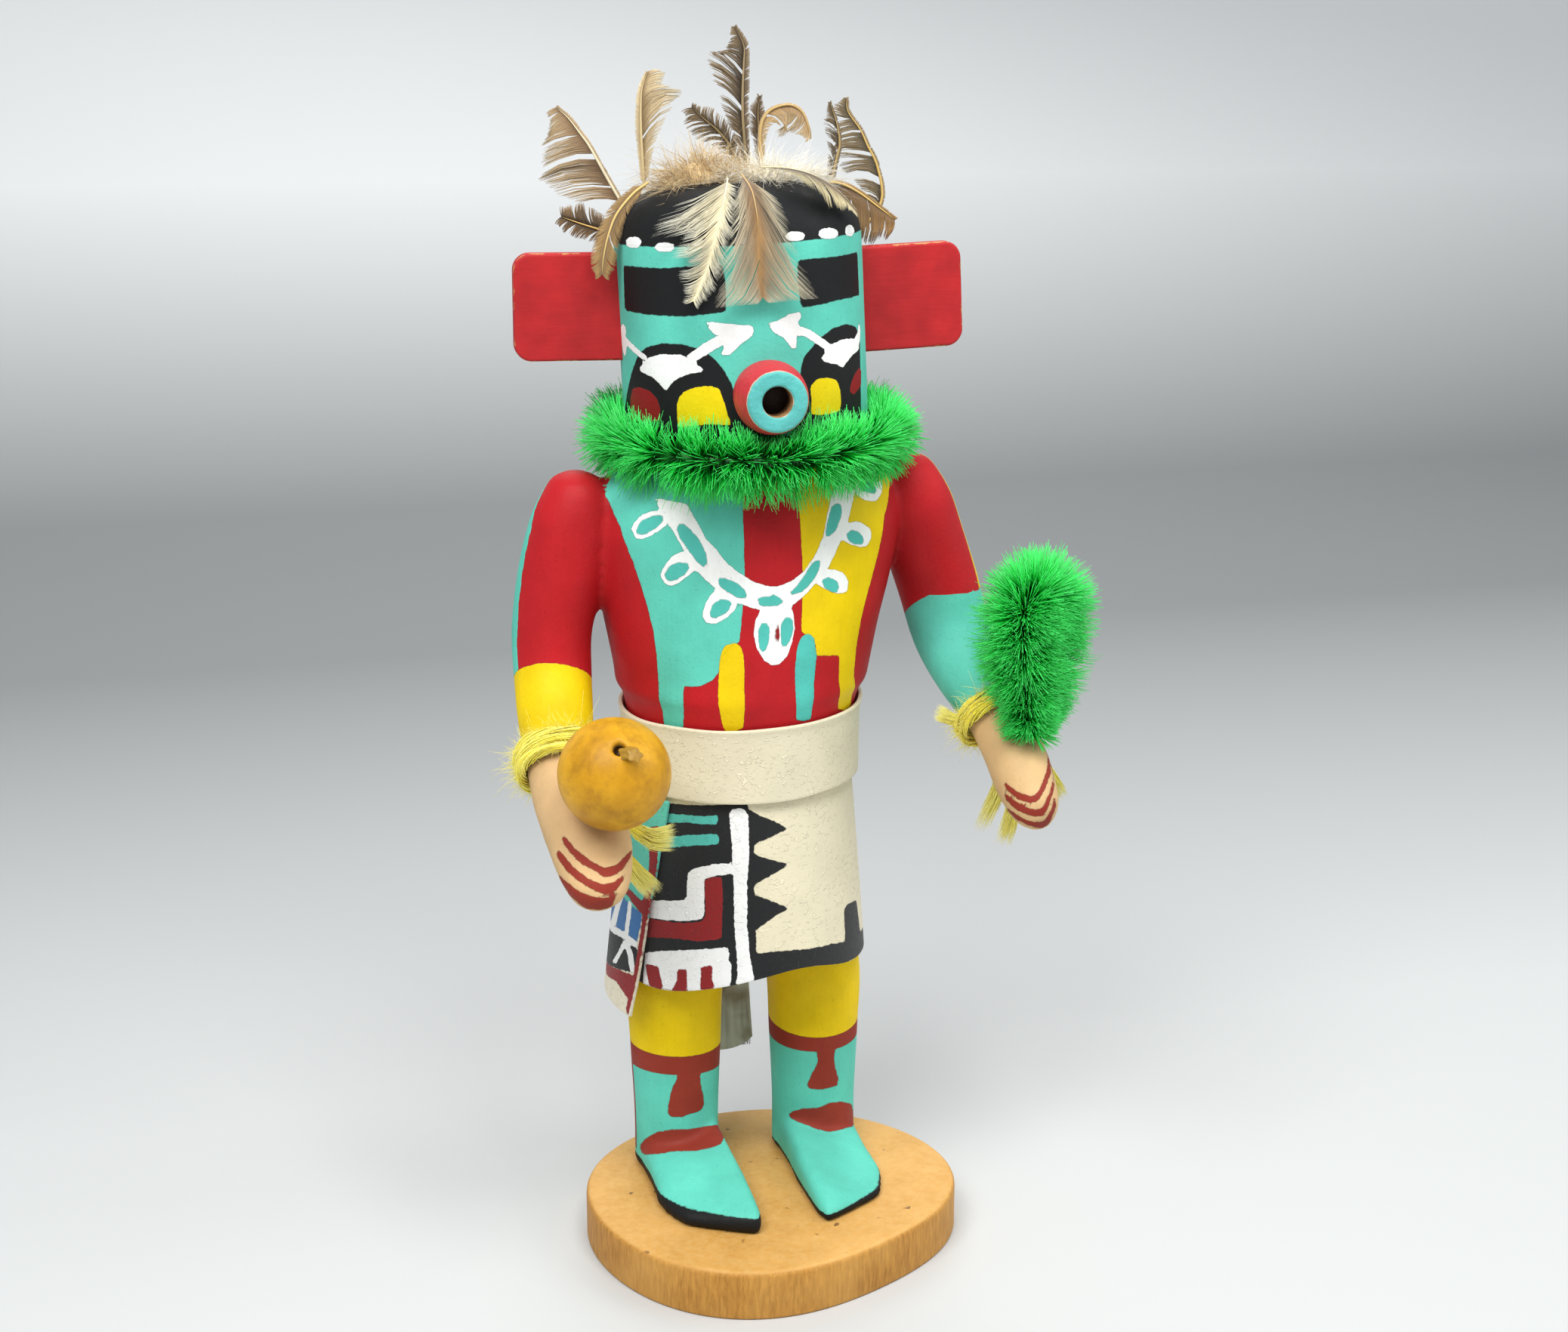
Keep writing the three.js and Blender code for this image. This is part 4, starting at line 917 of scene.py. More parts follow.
def turned_snout():
    face, front = HEAD_RADIUS - 2, HEAD_RADIUS + SNOUT_LENGTH
    barrel = flow([(8.1, face), (8.6, face + 4), (8.7, face + 6.4), (8.2, face + 10), (7.3, front - 0.9)], 14)
    lip = [(7.1, front - 0.35), (6.8, front - 0.1), (6.3, front), (5.2, front), (4.2, front),
           (3.9, front - 0.1), (SNOUT_BORE + 0.05, front - 0.45)]
    wall = [(SNOUT_BORE, front - depth) for depth in (1.5, 3, 5, 7, SNOUT_DEPTH)]
    bm = spun([(0, face), *map(tuple, barrel), *lip, *wall, (0, front - SNOUT_DEPTH)], 72)
    mesh = as_mesh(bm, "snout")
    radii = np.array([math.hypot(v.co.x, v.co.y) for v in mesh.vertices])
    heights = np.array([v.co.z for v in mesh.vertices])
    in_bore = (radii < SNOUT_BORE + 0.3) & (heights > face + 0.5)
    keep(mesh, "ring", heights - front + 0.55)
    keep(mesh, "hole", np.where(in_bore, front - heights, -1))
    to_face = Matrix.Translation((0, 0, SNOUT_HEIGHT)) @ Matrix.Rotation(math.pi / 2, 4, "X")
    mesh.transform(HEAD_POSE @ to_face)
    return mesh


def snout_paint():
    recipe = Recipe("snout_paint", 0.55, Specular_IOR_Level=0.4)
    waver = recipe.fit(recipe.noise(420, 3), 0.3, 0.7, -0.25, 0.25)
    depth = recipe.sum(recipe.attribute("ring"), waver)
    wood = recipe.mix(recipe.noise(500, 4), tint("#7a4a28"), tint("#c49a66"))
    colour = recipe.mix(recipe.fit(depth, -0.35, -0.15), tint("#c03038"), tint("#c9bba2"))
    colour = recipe.mix(recipe.fit(depth, 0.0, 0.15), colour, tint("#55b0aa"))
    inside = recipe.sum(recipe.attribute("hole"), waver)
    colour = recipe.mix(recipe.fit(inside, 0.2, 0.6), colour, wood)
    # Deeper in the bore the colour turns dark brown: painted shade.
    colour = recipe.mix(recipe.fit(inside, 2.0, 7.0), colour, tint("#2a1c14"))
    flakes = recipe.fit(recipe.noise(380, 4), 0.3, 0.75, 0, 2)
    return recipe.finish(uneven(recipe, colour, strength=0.1), flakes, 0.00012, 1.0)


snout_mesh = turned_snout()
snout_tree = surface_tree(snout_mesh)
finished("turned_snout", snout_mesh, "snout_paint", snout_paint(), "snout")

# %% [markdown]
# ## Slab
# A slice of a branch, sawn across, with a worn upper edge. Its face is tan and mottled, and its
# wall shows short upright lines of grain.
# %% Slab
BASE_HEIGHT = 12.7


def slab_radius(angle):
    swell = ((2, 1.84, 31), (3, 1.29, 9), (4, 0.58, -80))
    return 46.9 + sum(depth * math.cos(count * angle - math.radians(turn)) for count, depth, turn in swell)


def slab():
    bm = bmesh.new()
    bmesh.ops.create_circle(bm, cap_ends=True, segments=180, radius=1)
    for vert in bm.verts:
        angle = math.atan2(vert.co.y, vert.co.x)
        vert.co = Vector((math.cos(angle), math.sin(angle), 0)) * slab_radius(angle)
    top = bmesh.ops.extrude_face_region(bm, geom=bm.faces[:])
    raised = [v for v in top["geom"] if isinstance(v, bmesh.types.BMVert)]
    bmesh.ops.translate(bm, vec=(0, 0, BASE_HEIGHT), verts=raised)
    bmesh.ops.recalc_face_normals(bm, faces=bm.faces)
    upper = [e for e in bm.edges if all(v.co.z > 1 for v in e.verts)]
    lower = [e for e in bm.edges if all(v.co.z < 1 for v in e.verts)]
    bmesh.ops.bevel(bm, geom=upper, offset=1.5, segments=5, profile=0.5, material=-1, affect="EDGES")
    bmesh.ops.bevel(bm, geom=lower, offset=0.7, segments=3, profile=0.5, material=-1, affect="EDGES")
    for _ in range(6):
        faces = [f for f in bm.faces if abs(f.normal.z) > 0.99 and len(f.verts) > 40]
        if not faces:
            break
        bmesh.ops.inset_region(bm, faces=faces, thickness=3.5, use_even_offset=True)
    bmesh.ops.translate(bm, vec=(0.7, -20.2, 0), verts=bm.verts)
    return as_mesh(bm, "slab")


def slab_wood():
    recipe = Recipe("slab_wood", 0.62, Specular_IOR_Level=0.4)
    up = recipe.add("SeparateXYZ", {0: recipe.add("NewGeometry").outputs["Normal"]}).outputs["Z"]
    on_top = recipe.fit(up, 0.55, 0.9)
    mottle = recipe.noise(45, 5, rough=0.6)
    face = recipe.mix(recipe.fit(mottle, 0.3, 0.72), tint("#bd8a3c"), tint("#dba85c"))
    fine = recipe.noise(600, 4)
    face = recipe.mix(recipe.fit(fine, 0.35, 0.7, 0, 0.35), face, tint("#dcb474"))
    specks = recipe.fit(recipe.noise(330, 2), 0.7, 0.76, 0, 0.75)
    face = recipe.mix(specks, face, tint("#4a3018"))
    lines = recipe.noise(1, 4, recipe.place((1100, 1100, 190)), 0.65)
    wall = recipe.mix(recipe.fit(lines, 0.32, 0.66), tint("#a06c24"), tint("#c48c3a"))
    broad = recipe.noise(60, 3)
    wall = recipe.mix(recipe.fit(broad, 0.4, 0.7, 0, 0.4), wall, tint("#d6a354"))
    colour = recipe.mix(on_top, wall, face)
    relief = recipe.sum(recipe.fit(lines, 0.2, 0.8, 0, 0.8), recipe.fit(fine, 0.2, 0.8, 0, 0.6))
    return recipe.finish(colour, relief, 0.00012, 0.9)


finished("sawn_slab", slab(), "slab_wood", slab_wood(), "base_slab")

# %% [markdown]
# ## Leather
# The kilt is one piece of soft leather wrapped round the hips and painted, the belt a plain strip
# of suede over its top edge, and the hip panel a painted strip that hangs over the kilt. Each is a
# thin grid bent round the hips and given its thickness, so painted edges can follow its skin. The
# edges are cut by hand, so they wander a little.
# %% Leather grids
def waver(values, waves, size, seed):
    """A slow hand-cut wander along an edge, always the same for one seed"""
    rng = np.random.default_rng(seed)
    turns = rng.uniform(0, math.tau, waves)
    return size * sum(np.sin(values * (2.3 + 3.1 * k) + turns[k]) / (k + 1) for k in range(waves))


def hide(columns, rows, place, thickness, closed):
    """A grid of leather, placed and thickened outwards; its last cut is softened"""
    bm = bmesh.new()
    bmesh.ops.create_grid(bm, x_segments=columns, y_segments=rows, size=0.5)
    for vert in bm.verts:
        vert.co = place(vert.co.x + 0.5, vert.co.y + 0.5)
    if closed:
        bmesh.ops.remove_doubles(bm, verts=bm.verts, dist=1e-4)
    bmesh.ops.recalc_face_normals(bm, faces=bm.faces)
    middle = sum((f.calc_center_median() for f in bm.faces), Vector()) / len(bm.faces)
    if sum(f.normal.dot(f.calc_center_median() - Vector((0, 0, middle.z))) for f in bm.faces) < 0:
        bmesh.ops.reverse_faces(bm, faces=bm.faces)
    bmesh.ops.solidify(bm, geom=bm.faces[:], thickness=-thickness)
    rim = [e for e in bm.edges if e.is_manifold and e.calc_face_angle(0) > 1.2]
    bmesh.ops.bevel(bm, geom=rim, offset=0.22, segments=2, profile=0.5, material=-1, affect="EDGES")
    bmesh.ops.recalc_face_normals(bm, faces=bm.faces)
    return as_mesh(bm, "hide")


def kilt_outer(height):
    return 32.6 - 3.6 * (min(height, 118) - 76) / 42


def trunk_half(height):
    heights, halves = [s[0] for s in TRUNK], [s[1] for s in TRUNK]
    return float(np.interp(height, heights, halves))


def kilt_hem(front):
    """The hem is cut highest just beside the middle of the front and lowest at the panel's side"""
    raised = 4.0 * np.exp(-((front - 0.21) / 0.52) ** 2)
    dipped = 2.6 * np.exp(-((front + 1.08) / 0.45) ** 2)
    return 72.0 + raised - dipped + waver(front, 3, 0.22, 3)


def kilt_place(turn, way):
    front = math.tau * (turn - 0.5)
    hem = float(kilt_hem(front))
    height = hem + (126 - hem) * way
    flare = 0.45 * math.sin(3 * front + 1.1) * (1 - way) ** 2
    radius = max(kilt_outer(height), trunk_half(height) + 1.3) - 1.0 + flare
    return (-0.9 + radius * math.sin(front), -(radius - 0.7) * math.cos(front), height)


kilt_mesh = hide(230, 56, kilt_place, thickness=1.0, closed=True)
print("kilt has", len(kilt_mesh.polygons), "faces")

# %% [markdown]
# ### The kilt's pattern
# The front left of the kilt is a painted panel: black with turquoise bars, a white stripe, a white
# and a red step, and a toothed band at the hem. The rest stays the colour of the hide, with a black
# line along the hem.
# %% Kilt outlines
KILT_BLACK = [
    [(540, 480), (640, 480), (915, 478), (916, 500), (960, 525), (1010, 545), (1053, 568), (1010, 590),
     (960, 612), (936, 622), (936, 655), (980, 672), (1040, 687), (1056, 693), (1020, 715), (975, 740),
     (936, 765), (936, 795), (980, 812), (1030, 832), (1058, 843), (1010, 870), (970, 900), (942, 918),
     (945, 1000), (1000, 995), (1050, 990), (1120, 985), (1200, 968), (1252, 958), (1250, 900), (1247, 850),
     (1260, 828), (1290, 815), (1295, 850), (1303, 925), (1316, 905), (1322, 1010), (1250, 1040),
     (1150, 1065), (1060, 1085), (1000, 1095), (860, 1120), (700, 1150), (540, 1150), (470, 1000)],
]
KILT_WHITE = [
    [(850, 520), (860, 500), (885, 497), (905, 505), (917, 525), (920, 650), (913, 750), (912, 900),
     (922, 1010), (940, 1100), (876, 1110), (880, 1050), (868, 900), (865, 750), (860, 620)],
    [(720, 710), (740, 703), (800, 690), (862, 690), (862, 725), (810, 730), (765, 740), (765, 870),
     (755, 882), (700, 888), (640, 885), (560, 872), (560, 812), (600, 816), (702, 815),
     (705, 770), (705, 725)],
    [(560, 996), (640, 990), (700, 988), (760, 985), (800, 982), (845, 978), (852, 1000), (845, 1015),
     (858, 1040), (862, 1130), (700, 1150), (540, 1150)],
]
KILT_RED = [
    [(765, 742), (825, 732), (828, 800), (825, 950), (740, 958), (680, 950), (620, 945), (550, 942),
     (550, 872), (640, 890), (700, 895), (758, 890), (768, 870)],
    [(560, 1036), (605, 1045), (612, 1080), (620, 1140), (560, 1140)],
    [(668, 1055), (705, 1055), (703, 1090), (713, 1140), (662, 1140), (670, 1090)],
    [(752, 1045), (792, 1043), (790, 1080), (804, 1140), (746, 1140), (752, 1080)],
]
KILT_BARS = [
    [(600, 512), (700, 520), (760, 525), (812, 523), (810, 552), (740, 552), (700, 545), (600, 548)],
    [(600, 600), (700, 590), (760, 588), (812, 588), (817, 620), (780, 625), (720, 627), (600, 635)],
]


def on_kilt(points):
    return unroll(points, -0.9, 31.5)


# %% Paint the kilt
kilt = Painting(kilt_mesh)
front_half = kilt.normals[:, 1] < 0.45
kilt.shapes("black", "kilt", on_kilt, KILT_BLACK, front_half)
kilt.shapes("white", "kilt", on_kilt, KILT_WHITE, front_half)
kilt.shapes("stones", "kilt", on_kilt, KILT_BARS, front_half)
kilt.shapes("deep_red", "kilt", on_kilt, KILT_RED, front_half)
kilt_x, kilt_y, kilt_z = kilt.points.T
way_round = np.arctan2(kilt_x + 0.9, -kilt_y)
hem_line = np.where((way_round > 0.9) | (way_round < -2.3), 4.4 - (kilt_z - kilt_hem(way_round)), -9.0)
kilt.lay("black", hem_line)
kilt.store()

# %% [markdown]
# ### Suede
# Bare suede is cream and dull, with short raised flakes of nap a millimetre or two long. They are
# the crests of a stretched noise, raised in relief and painted paler as their highlight.
# %% Suede
def suede(name, layers, tone):
    recipe = Recipe(name, 0.9, Specular_IOR_Level=0.2, Sheen_Weight=0.15, Sheen_Roughness=0.6)
    colour, height = coats(recipe, tint(tone), layers, 0.14, 0.35) if layers else (tint(tone), None)
    flakes = recipe.noise(1, 3, recipe.place((640, 640, 900), (0.3, 0.4, 0.2)), 0.6)
    crests_and_highlight = recipe.fit(flakes, 0.585, 0.63, 0, 1)
    patches = recipe.fit(recipe.noise(1, 3, recipe.place((38, 38, 60))), 0.35, 0.65, 0.35, 1)
    crests_and_highlight = recipe.sum(crests_and_highlight, patches, "MULTIPLY")
    nap = recipe.fit(recipe.noise(1600, 3), 0.2, 0.8, 0, 0.28)
    stain = recipe.fit(recipe.noise(110, 4), 0.3, 0.75, 1.03, 0.95)
    # The crests are painted paler than the suede round them: a painted highlight on the raised flakes.
    shade = recipe.sum(stain, recipe.fit(crests_and_highlight, 0, 1, 0.98, 1.16), "MULTIPLY")
    colour = recipe.shaded(colour, shade)
    relief = recipe.sum(crests_and_highlight, nap)
    if height is not None:
        relief = recipe.sum(relief, recipe.sum(height, 0.2, "MULTIPLY"))
    return recipe.finish(colour, relief, 0.0002, 0.9)


bare_suede = suede("bare_suede", [], "#dcd3b6")
kilt_hide = suede("painted_kilt_hide", ["black", "white", "stones", "deep_red"], "#dfd6b8")
kilt_piece = finished("kilt_of_hide", kilt_mesh, "kilt_leather", kilt_hide, "kilt")

# %% [markdown]
# ### Belt
# The belt stands a little off the kilt and its upper edge flares over the red chest. Its ends meet
# at the back, one lapped over the other.
# %% Belt
def belt_place(turn, way):
    front = math.tau * (turn - 0.5)
    slant = 1.4 * math.cos(front + math.radians(40))
    low = 121 - 0.5 * slant + float(waver(front, 3, 0.18, 5))
    high = 140.4 - slant + float(waver(front, 3, 0.2, 8))
    height = low + (high - low) * way
    radius = max(trunk_half(height) + 0.35, 29.5 + 0.1 * (height - 121) / 7)
    radius += 0.35 * math.sin(2 * front + 0.6) * (1 - way) ** 3 * 0.5 + 0.25 * way ** 6
    radius += 0.5 * max(0, 1 - abs(front - 2.7) / 0.06)
    return (-0.9 + radius * math.sin(front), -(radius - 0.6) * math.cos(front), height)


belt_mesh = hide(200, 22, belt_place, thickness=1.05, closed=True)
belt_piece = finished("suede_belt", belt_mesh, "belt_leather", bare_suede, "belt")

# %% [markdown]
# ### Hip panel
# The panel has a red border, and inside it a turquoise block, a blue one with white stripes, a
# black one with a white cross, and bare hide at the end.
# %% Hip panel
PANEL_RED = [
    [(560, 560), (612, 560), (606, 720), (590, 820), (578, 900), (572, 1000), (548, 1130), (524, 1215),
     (492, 1195), (514, 1105), (532, 1000), (548, 900), (550, 865), (500, 800), (462, 768), (475, 745),
     (520, 790), (552, 822), (574, 700), (574, 560)],
    [(425, 1025), (470, 1055), (515, 1075), (530, 1120), (505, 1160), (460, 1095), (425, 1070)],
]
PANEL_BLUE = [
    [(400, 770), (440, 778), (475, 792), (548, 862), (545, 900), (530, 962), (470, 915), (400, 880)],
]
PANEL_BLACK = [[(400, 895), (440, 908), (480, 940), (534, 985), (526, 1066), (470, 1055), (400, 1020)]]
PANEL_WHITE = [
    [(468, 788), (486, 800), (470, 850), (458, 905), (440, 895), (452, 850)],
    [(502, 815), (514, 826), (508, 880), (500, 945), (486, 935), (494, 880)],
    [(400, 868), (440, 886), (490, 925), (534, 962), (532, 982), (480, 945), (430, 908), (400, 895)],
    [(484, 955), (500, 962), (478, 1000), (458, 1036), (446, 1030), (466, 995)],
    [(486, 960), (502, 955), (518, 1005), (524, 1068), (508, 1064), (500, 1010)],
]


def panel_place(turn, way):
    low, high = 62.4, 119.2
    height = low + (high - low) * way - 1.6 * (1 - way) * turn
    front = math.radians(-112) + turn * (math.radians(-51) - 0.28 * (1 - way) - math.radians(-112))
    front += float(waver(way * 3, 3, 0.008, 11)) * (2 * turn - 1)
    radius = kilt_outer(height) + 0.65 + 0.9 * (1 - way) ** 2
    return (-0.9 + radius * math.sin(front), -(radius - 0.7) * math.cos(front), height)


panel_mesh = hide(40, 72, panel_place, thickness=0.95, closed=False)
panel = Painting(panel_mesh)
panel.lay("turquoise", np.where(panel.points[:, 2] > 88.0, 9.0, -9.0))
panel.shapes("blue", "kilt", on_kilt, PANEL_BLUE)
panel.shapes("black", "kilt", on_kilt, PANEL_BLACK)
panel.shapes("white", "kilt", on_kilt, PANEL_WHITE)
panel.shapes("deep_red", "kilt", on_kilt, PANEL_RED)
panel_way = np.arctan2(panel.points[:, 0] + 0.9, -panel.points[:, 1])
back_edge = np.radians(-112)
panel.lay("deep_red", np.where(panel.points[:, 2] > 66, 1.9 - 32 * (panel_way - back_edge), -9.0))
panel.store()
panel_hide = suede("painted_panel_hide", ["turquoise", "blue", "black", "white", "deep_red"], "#e2d9c0")
panel_piece = finished("hip_strip", panel_mesh, "panel_leather", panel_hide, "hip_panel")

# %% [markdown]
# ## Strands
# Brush, yarn, down and feathers are all made of thin strands. One strand is modelled once with
# bmesh: a slim tapered body whose Z runs from 0 at the root to 1 at the tip. `grown` lays a copy of
# it along every path. Each point keeps how far along its strand it is and its strand's own shade,
# for the finish.
# %% One strand
def strand_body(sides, rings, taper=0.96, flat=1.0):
    bm = bmesh.new()
    bmesh.ops.create_cone(bm, cap_ends=False, segments=sides, radius1=1, radius2=1, depth=1)
    bmesh.ops.translate(bm, vec=(0, 0, 0.5), verts=bm.verts)
    sliced(bm, [cut / rings for cut in range(1, rings)], (0, 0, 1))
    for vert in bm.verts:
        width = 1 - taper * vert.co.z ** 2
        vert.co.x *= width
        vert.co.y *= width * flat
    bmesh.ops.holes_fill(bm, edges=[e for e in bm.edges if e.is_boundary], sides=0)
    bmesh.ops.recalc_face_normals(bm, faces=bm.faces)
    return as_mesh(bm, "strand")


def grown(name, body, paths, widths, shades, facing=None, extra=None):
    """Copies of a strand along paths (strands x steps x 3), as one mesh"""
    paths = np.asarray(paths, float)
    count, steps = paths.shape[:2]
    local = np.array([v.co for v in body.vertices])
    at = np.clip(local[:, 2], 0, 1) * (steps - 1)
    low = np.minimum(at.astype(int), steps - 2)
    share = (at - low)[None, :, None]
    centres = paths[:, low] * (1 - share) + paths[:, low + 1] * share
    ahead = np.gradient(paths, axis=1)
    ahead /= np.linalg.norm(ahead, axis=2, keepdims=True) + 1e-12
    ahead = ahead[:, low] * (1 - share) + ahead[:, low + 1] * share
    facing = np.asarray((0.3, -0.9, 0.2) if facing is None else facing, float)
    facing = np.broadcast_to(facing, (count, 3))[:, None]
    side = np.cross(ahead, facing)
    side /= np.linalg.norm(side, axis=2, keepdims=True) + 1e-12
    out = np.cross(side, ahead)
    widths = np.broadcast_to(np.asarray(widths, float), (count,))[:, None, None]
    points = centres + widths * (side * local[None, :, 0, None] + out * local[None, :, 1, None])
    faces = [tuple(face.vertices) for face in body.polygons]
    size = len(local)
    mesh = bpy.data.meshes.new(name)
    corners = np.concatenate([np.array(face) for face in faces])
    starts = np.cumsum([0] + [len(face) for face in faces])
    mesh.vertices.add(count * size)
    mesh.vertices.foreach_set("co", points.reshape(-1).astype(np.float32))
    mesh.loops.add(count * len(corners))
    offsets = np.arange(count)[:, None]
    mesh.loops.foreach_set("vertex_index", (corners[None] + offsets * size).reshape(-1).astype(np.int32))
    mesh.polygons.add(count * len(faces))
    loop_starts = (starts[:-1][None] + offsets * len(corners)).reshape(-1)
    mesh.polygons.foreach_set("loop_start", loop_starts.astype(np.int32))
    mesh.update(calc_edges=True)
    mesh.validate()
    keep(mesh, "along", np.tile(local[:, 2], count))
    keep(mesh, "shade", np.repeat(shades, size))
    keep(mesh, "rise", np.repeat(shades if extra is None else extra, size))
    return mesh


def merged(name, meshes):
    """Several meshes as one, with the values that their points keep"""
    bm = bmesh.new()
    for mesh in meshes:
        bm.from_mesh(mesh)
        bpy.data.meshes.remove(mesh)
    return as_mesh(bm, name)


bristle = strand_body(3, 1, 0.65)
print("a bristle has", len(bristle.polygons), "faces")

# %% [markdown]
# ## Green brush
# The ruff and the piece in the hand are chenille stems: thousands of stiff green fibres stand out
# of a twisted wire. Each fibre leaves the stem's middle line outwards, all lean slightly, and their
# tips are paler where light comes through them. Their roots and the stem's heart are painted dark
# green as shade deep among the fibres.
# %% Brush fibres
rng = np.random.default_rng(41)


def bristles(line, length, count, start=0.1, droop=0.0):
    """Paths of fibres that stand out of a line all round, in tufts that bend together"""
    each = rng.integers(0, count // 11, count)
    tufts = each.max() + 1
    at = np.clip(rng.random(tufts)[each] + rng.normal(0, 0.0035, count), 0, 1)
    share = np.linspace(0, 1, len(line))
    slope = np.gradient(line, axis=0)
    spots = np.stack([np.interp(at, share, line[:, k]) for k in range(3)], 1)
    ahead = np.stack([np.interp(at, share, slope[:, k]) for k in range(3)], 1)
    ahead /= np.linalg.norm(ahead, axis=1)[:, None]
    across = np.cross(ahead, (0.02, 0.03, 1) if abs(ahead[0, 2]) < 0.7 else (1, 0.03, 0.02))
    across /= np.linalg.norm(across, axis=1)[:, None]
    third = np.cross(ahead, across)
    turn = rng.uniform(0, math.tau, tufts)[each] + rng.normal(0, 0.2, count)
    out = across * np.cos(turn)[:, None] + third * np.sin(turn)[:, None]
    lean = rng.normal(0, 0.3, tufts)[each] + rng.normal(0, 0.14, count)
    out += ahead * lean[:, None] + rng.normal(0, 0.07, (count, 3))
    out /= np.linalg.norm(out, axis=1)[:, None]
    reach = length * (rng.uniform(0.9, 1.04, tufts)[each] + rng.normal(0, 0.04, count))
    bend = (rng.normal(0, 0.16, (tufts, 3))[each] + rng.normal(0, 0.07, (count, 3))) * reach[:, None]
    bend[:, 2] -= droop
    roots = spots + out * start * length
    tips = spots + out * reach[:, None] + bend * 0.5
    middles = (roots + tips) / 2 - bend * 0.16
    return np.stack([roots, middles, tips], 1)


# %% [markdown]
# The ruff is a stem bent into a ring. A fibre whose tip would lie inside the carving or the snout
# is cut short just outside it.
# %% Ruff
RUFF_RADIUS, RUFF_TUBE, RUFF_FIBRES = 32.8, 10.4, 14800
ruff_pose = (Matrix.Translation((2, -1, 208.6)) @ Matrix.Rotation(math.radians(4), 4, "X")
             @ Matrix.Rotation(math.radians(-1.5), 4, "Y"))


def ring_line(radius, steps=200):
    turns = np.linspace(0, math.tau, steps)
    return np.stack([radius * np.cos(turns), radius * np.sin(turns), 0 * turns], 1)


def outside(spot, tree, room):
    near, normal, _, _ = tree.find_nearest(spot)
    return (spot - near).dot(normal) > room


def clear_of(paths, trees, room=0.4):
    """Fibres whose tips lie inside a surface are shortened until they lie outside it"""
    kept = []
    for path in paths:
        for share in (1.0, 0.85, 0.7, 0.55):
            tip = path[0] + share * (path[-1] - path[0])
            if all(outside(Vector(tip), tree, room) for tree in trees):
                kept.append(path[0] + share * (path - path[0]))
                break
    return np.array(kept)


ruff_line = posed(ring_line(RUFF_RADIUS), ruff_pose)
ruff_paths = clear_of(bristles(ruff_line, RUFF_TUBE, RUFF_FIBRES, droop=1.2), [figure_tree, snout_tree])
print("ruff has", len(ruff_paths), "fibres")


def green_fibre():
    recipe = Recipe("green_fibre", 0.42, Specular_IOR_Level=0.45)
    along = recipe.attribute("along")
    # Dark green at the root is painted shade deep in the tuft; paler tips are painted light coming through
    # the fibres.
    colour = recipe.mix(recipe.fit(along, 0.05, 0.6), tint("#04701e"), tint("#10cf3c"))
    colour = recipe.mix(recipe.fit(along, 0.55, 1.0, 0, 0.8), colour, tint("#4bea74"))
    return recipe.finish(recipe.shaded(colour, recipe.fit(recipe.attribute("shade"), 0, 1, 0.75, 1.2)))


def stem_core(line, radius):
    """The dense heart of a chenille stem, as a rope of short cross-pieces, painted darkest as shade among the
    fibres
    """
    core = grown("core", strand_body(6, len(line) - 1, taper=0), [line], radius, [0.0])
    # The heart gets the root's darkest green, as painted shade.
    core.attributes["along"].data.foreach_set("value", np.zeros(len(core.vertices), np.float32))
    return core


green = green_fibre()
ruff_widths = rng.uniform(0.13, 0.21, len(ruff_paths))
ruff_fibres = grown("ruff", bristle, ruff_paths, ruff_widths, rng.random(len(ruff_paths)))
ruff_mesh = merged("ruff", [ruff_fibres, stem_core(ruff_line, 1.6)])
finished("chenille_ruff", ruff_mesh, "green_brush", green, "neck_ruff")

# %% Brush in the hand
BRUSH_LENGTH, BRUSH_FIBRES = 12.2, 14200
BRUSH_FOLD = [(63.8, -38.4, 135.6), (63.4, -38, 140), (62.5, -37.6, 149), (61.8, -37.2, 159),
              (61.8, -37, 164.6), (63.6, -35.6, 168.4), (68, -32.8, 168.9),
              (71, -30.4, 166.2), (71.4, -29.8, 160),
              (70.4, -30.4, 148), (68.2, -31.6, 140), (67.2, -32.4, 136)]
brush_line = flow(BRUSH_FOLD, 160)
brush_paths = bristles(brush_line, BRUSH_LENGTH, BRUSH_FIBRES)
near_hand = np.clip((brush_paths[:, 0, 2] - 119) / 33, 0.45, 1)[:, None, None]
brush_paths = brush_paths[:, :1] + (brush_paths - brush_paths[:, :1]) * near_hand
brush_paths = clear_of(brush_paths, [figure_tree])
print("brush has", len(brush_paths), "fibres")
brush_widths = rng.uniform(0.12, 0.19, len(brush_paths))
brush_fibres = grown("brush", bristle, brush_paths, brush_widths, rng.random(len(brush_paths)))
brush_mesh = merged("brush", [brush_fibres, stem_core(brush_line, 1.3)])
finished("chenille_in_hand", brush_mesh, "green_brush", green, "hand_brush")

# %% [markdown]
# ## Gourd
# A dried ornamental gourd: nearly round, smooth and ochre, with browner patches. Its dry stem
# stands at the upper front, and beside it is a small hole: a shallow dent painted dark brown as its
# shade.
# %% Gourd
GOURD_CENTRE, GOURD_RADIUS = Vector((-44.3, -49, 137.1)), 13.3
STEM_WAY = Vector((0.08, -0.80, 0.585)).normalized()
HOLE_WAY = Vector((-0.05, -0.735, 0.675)).normalized()


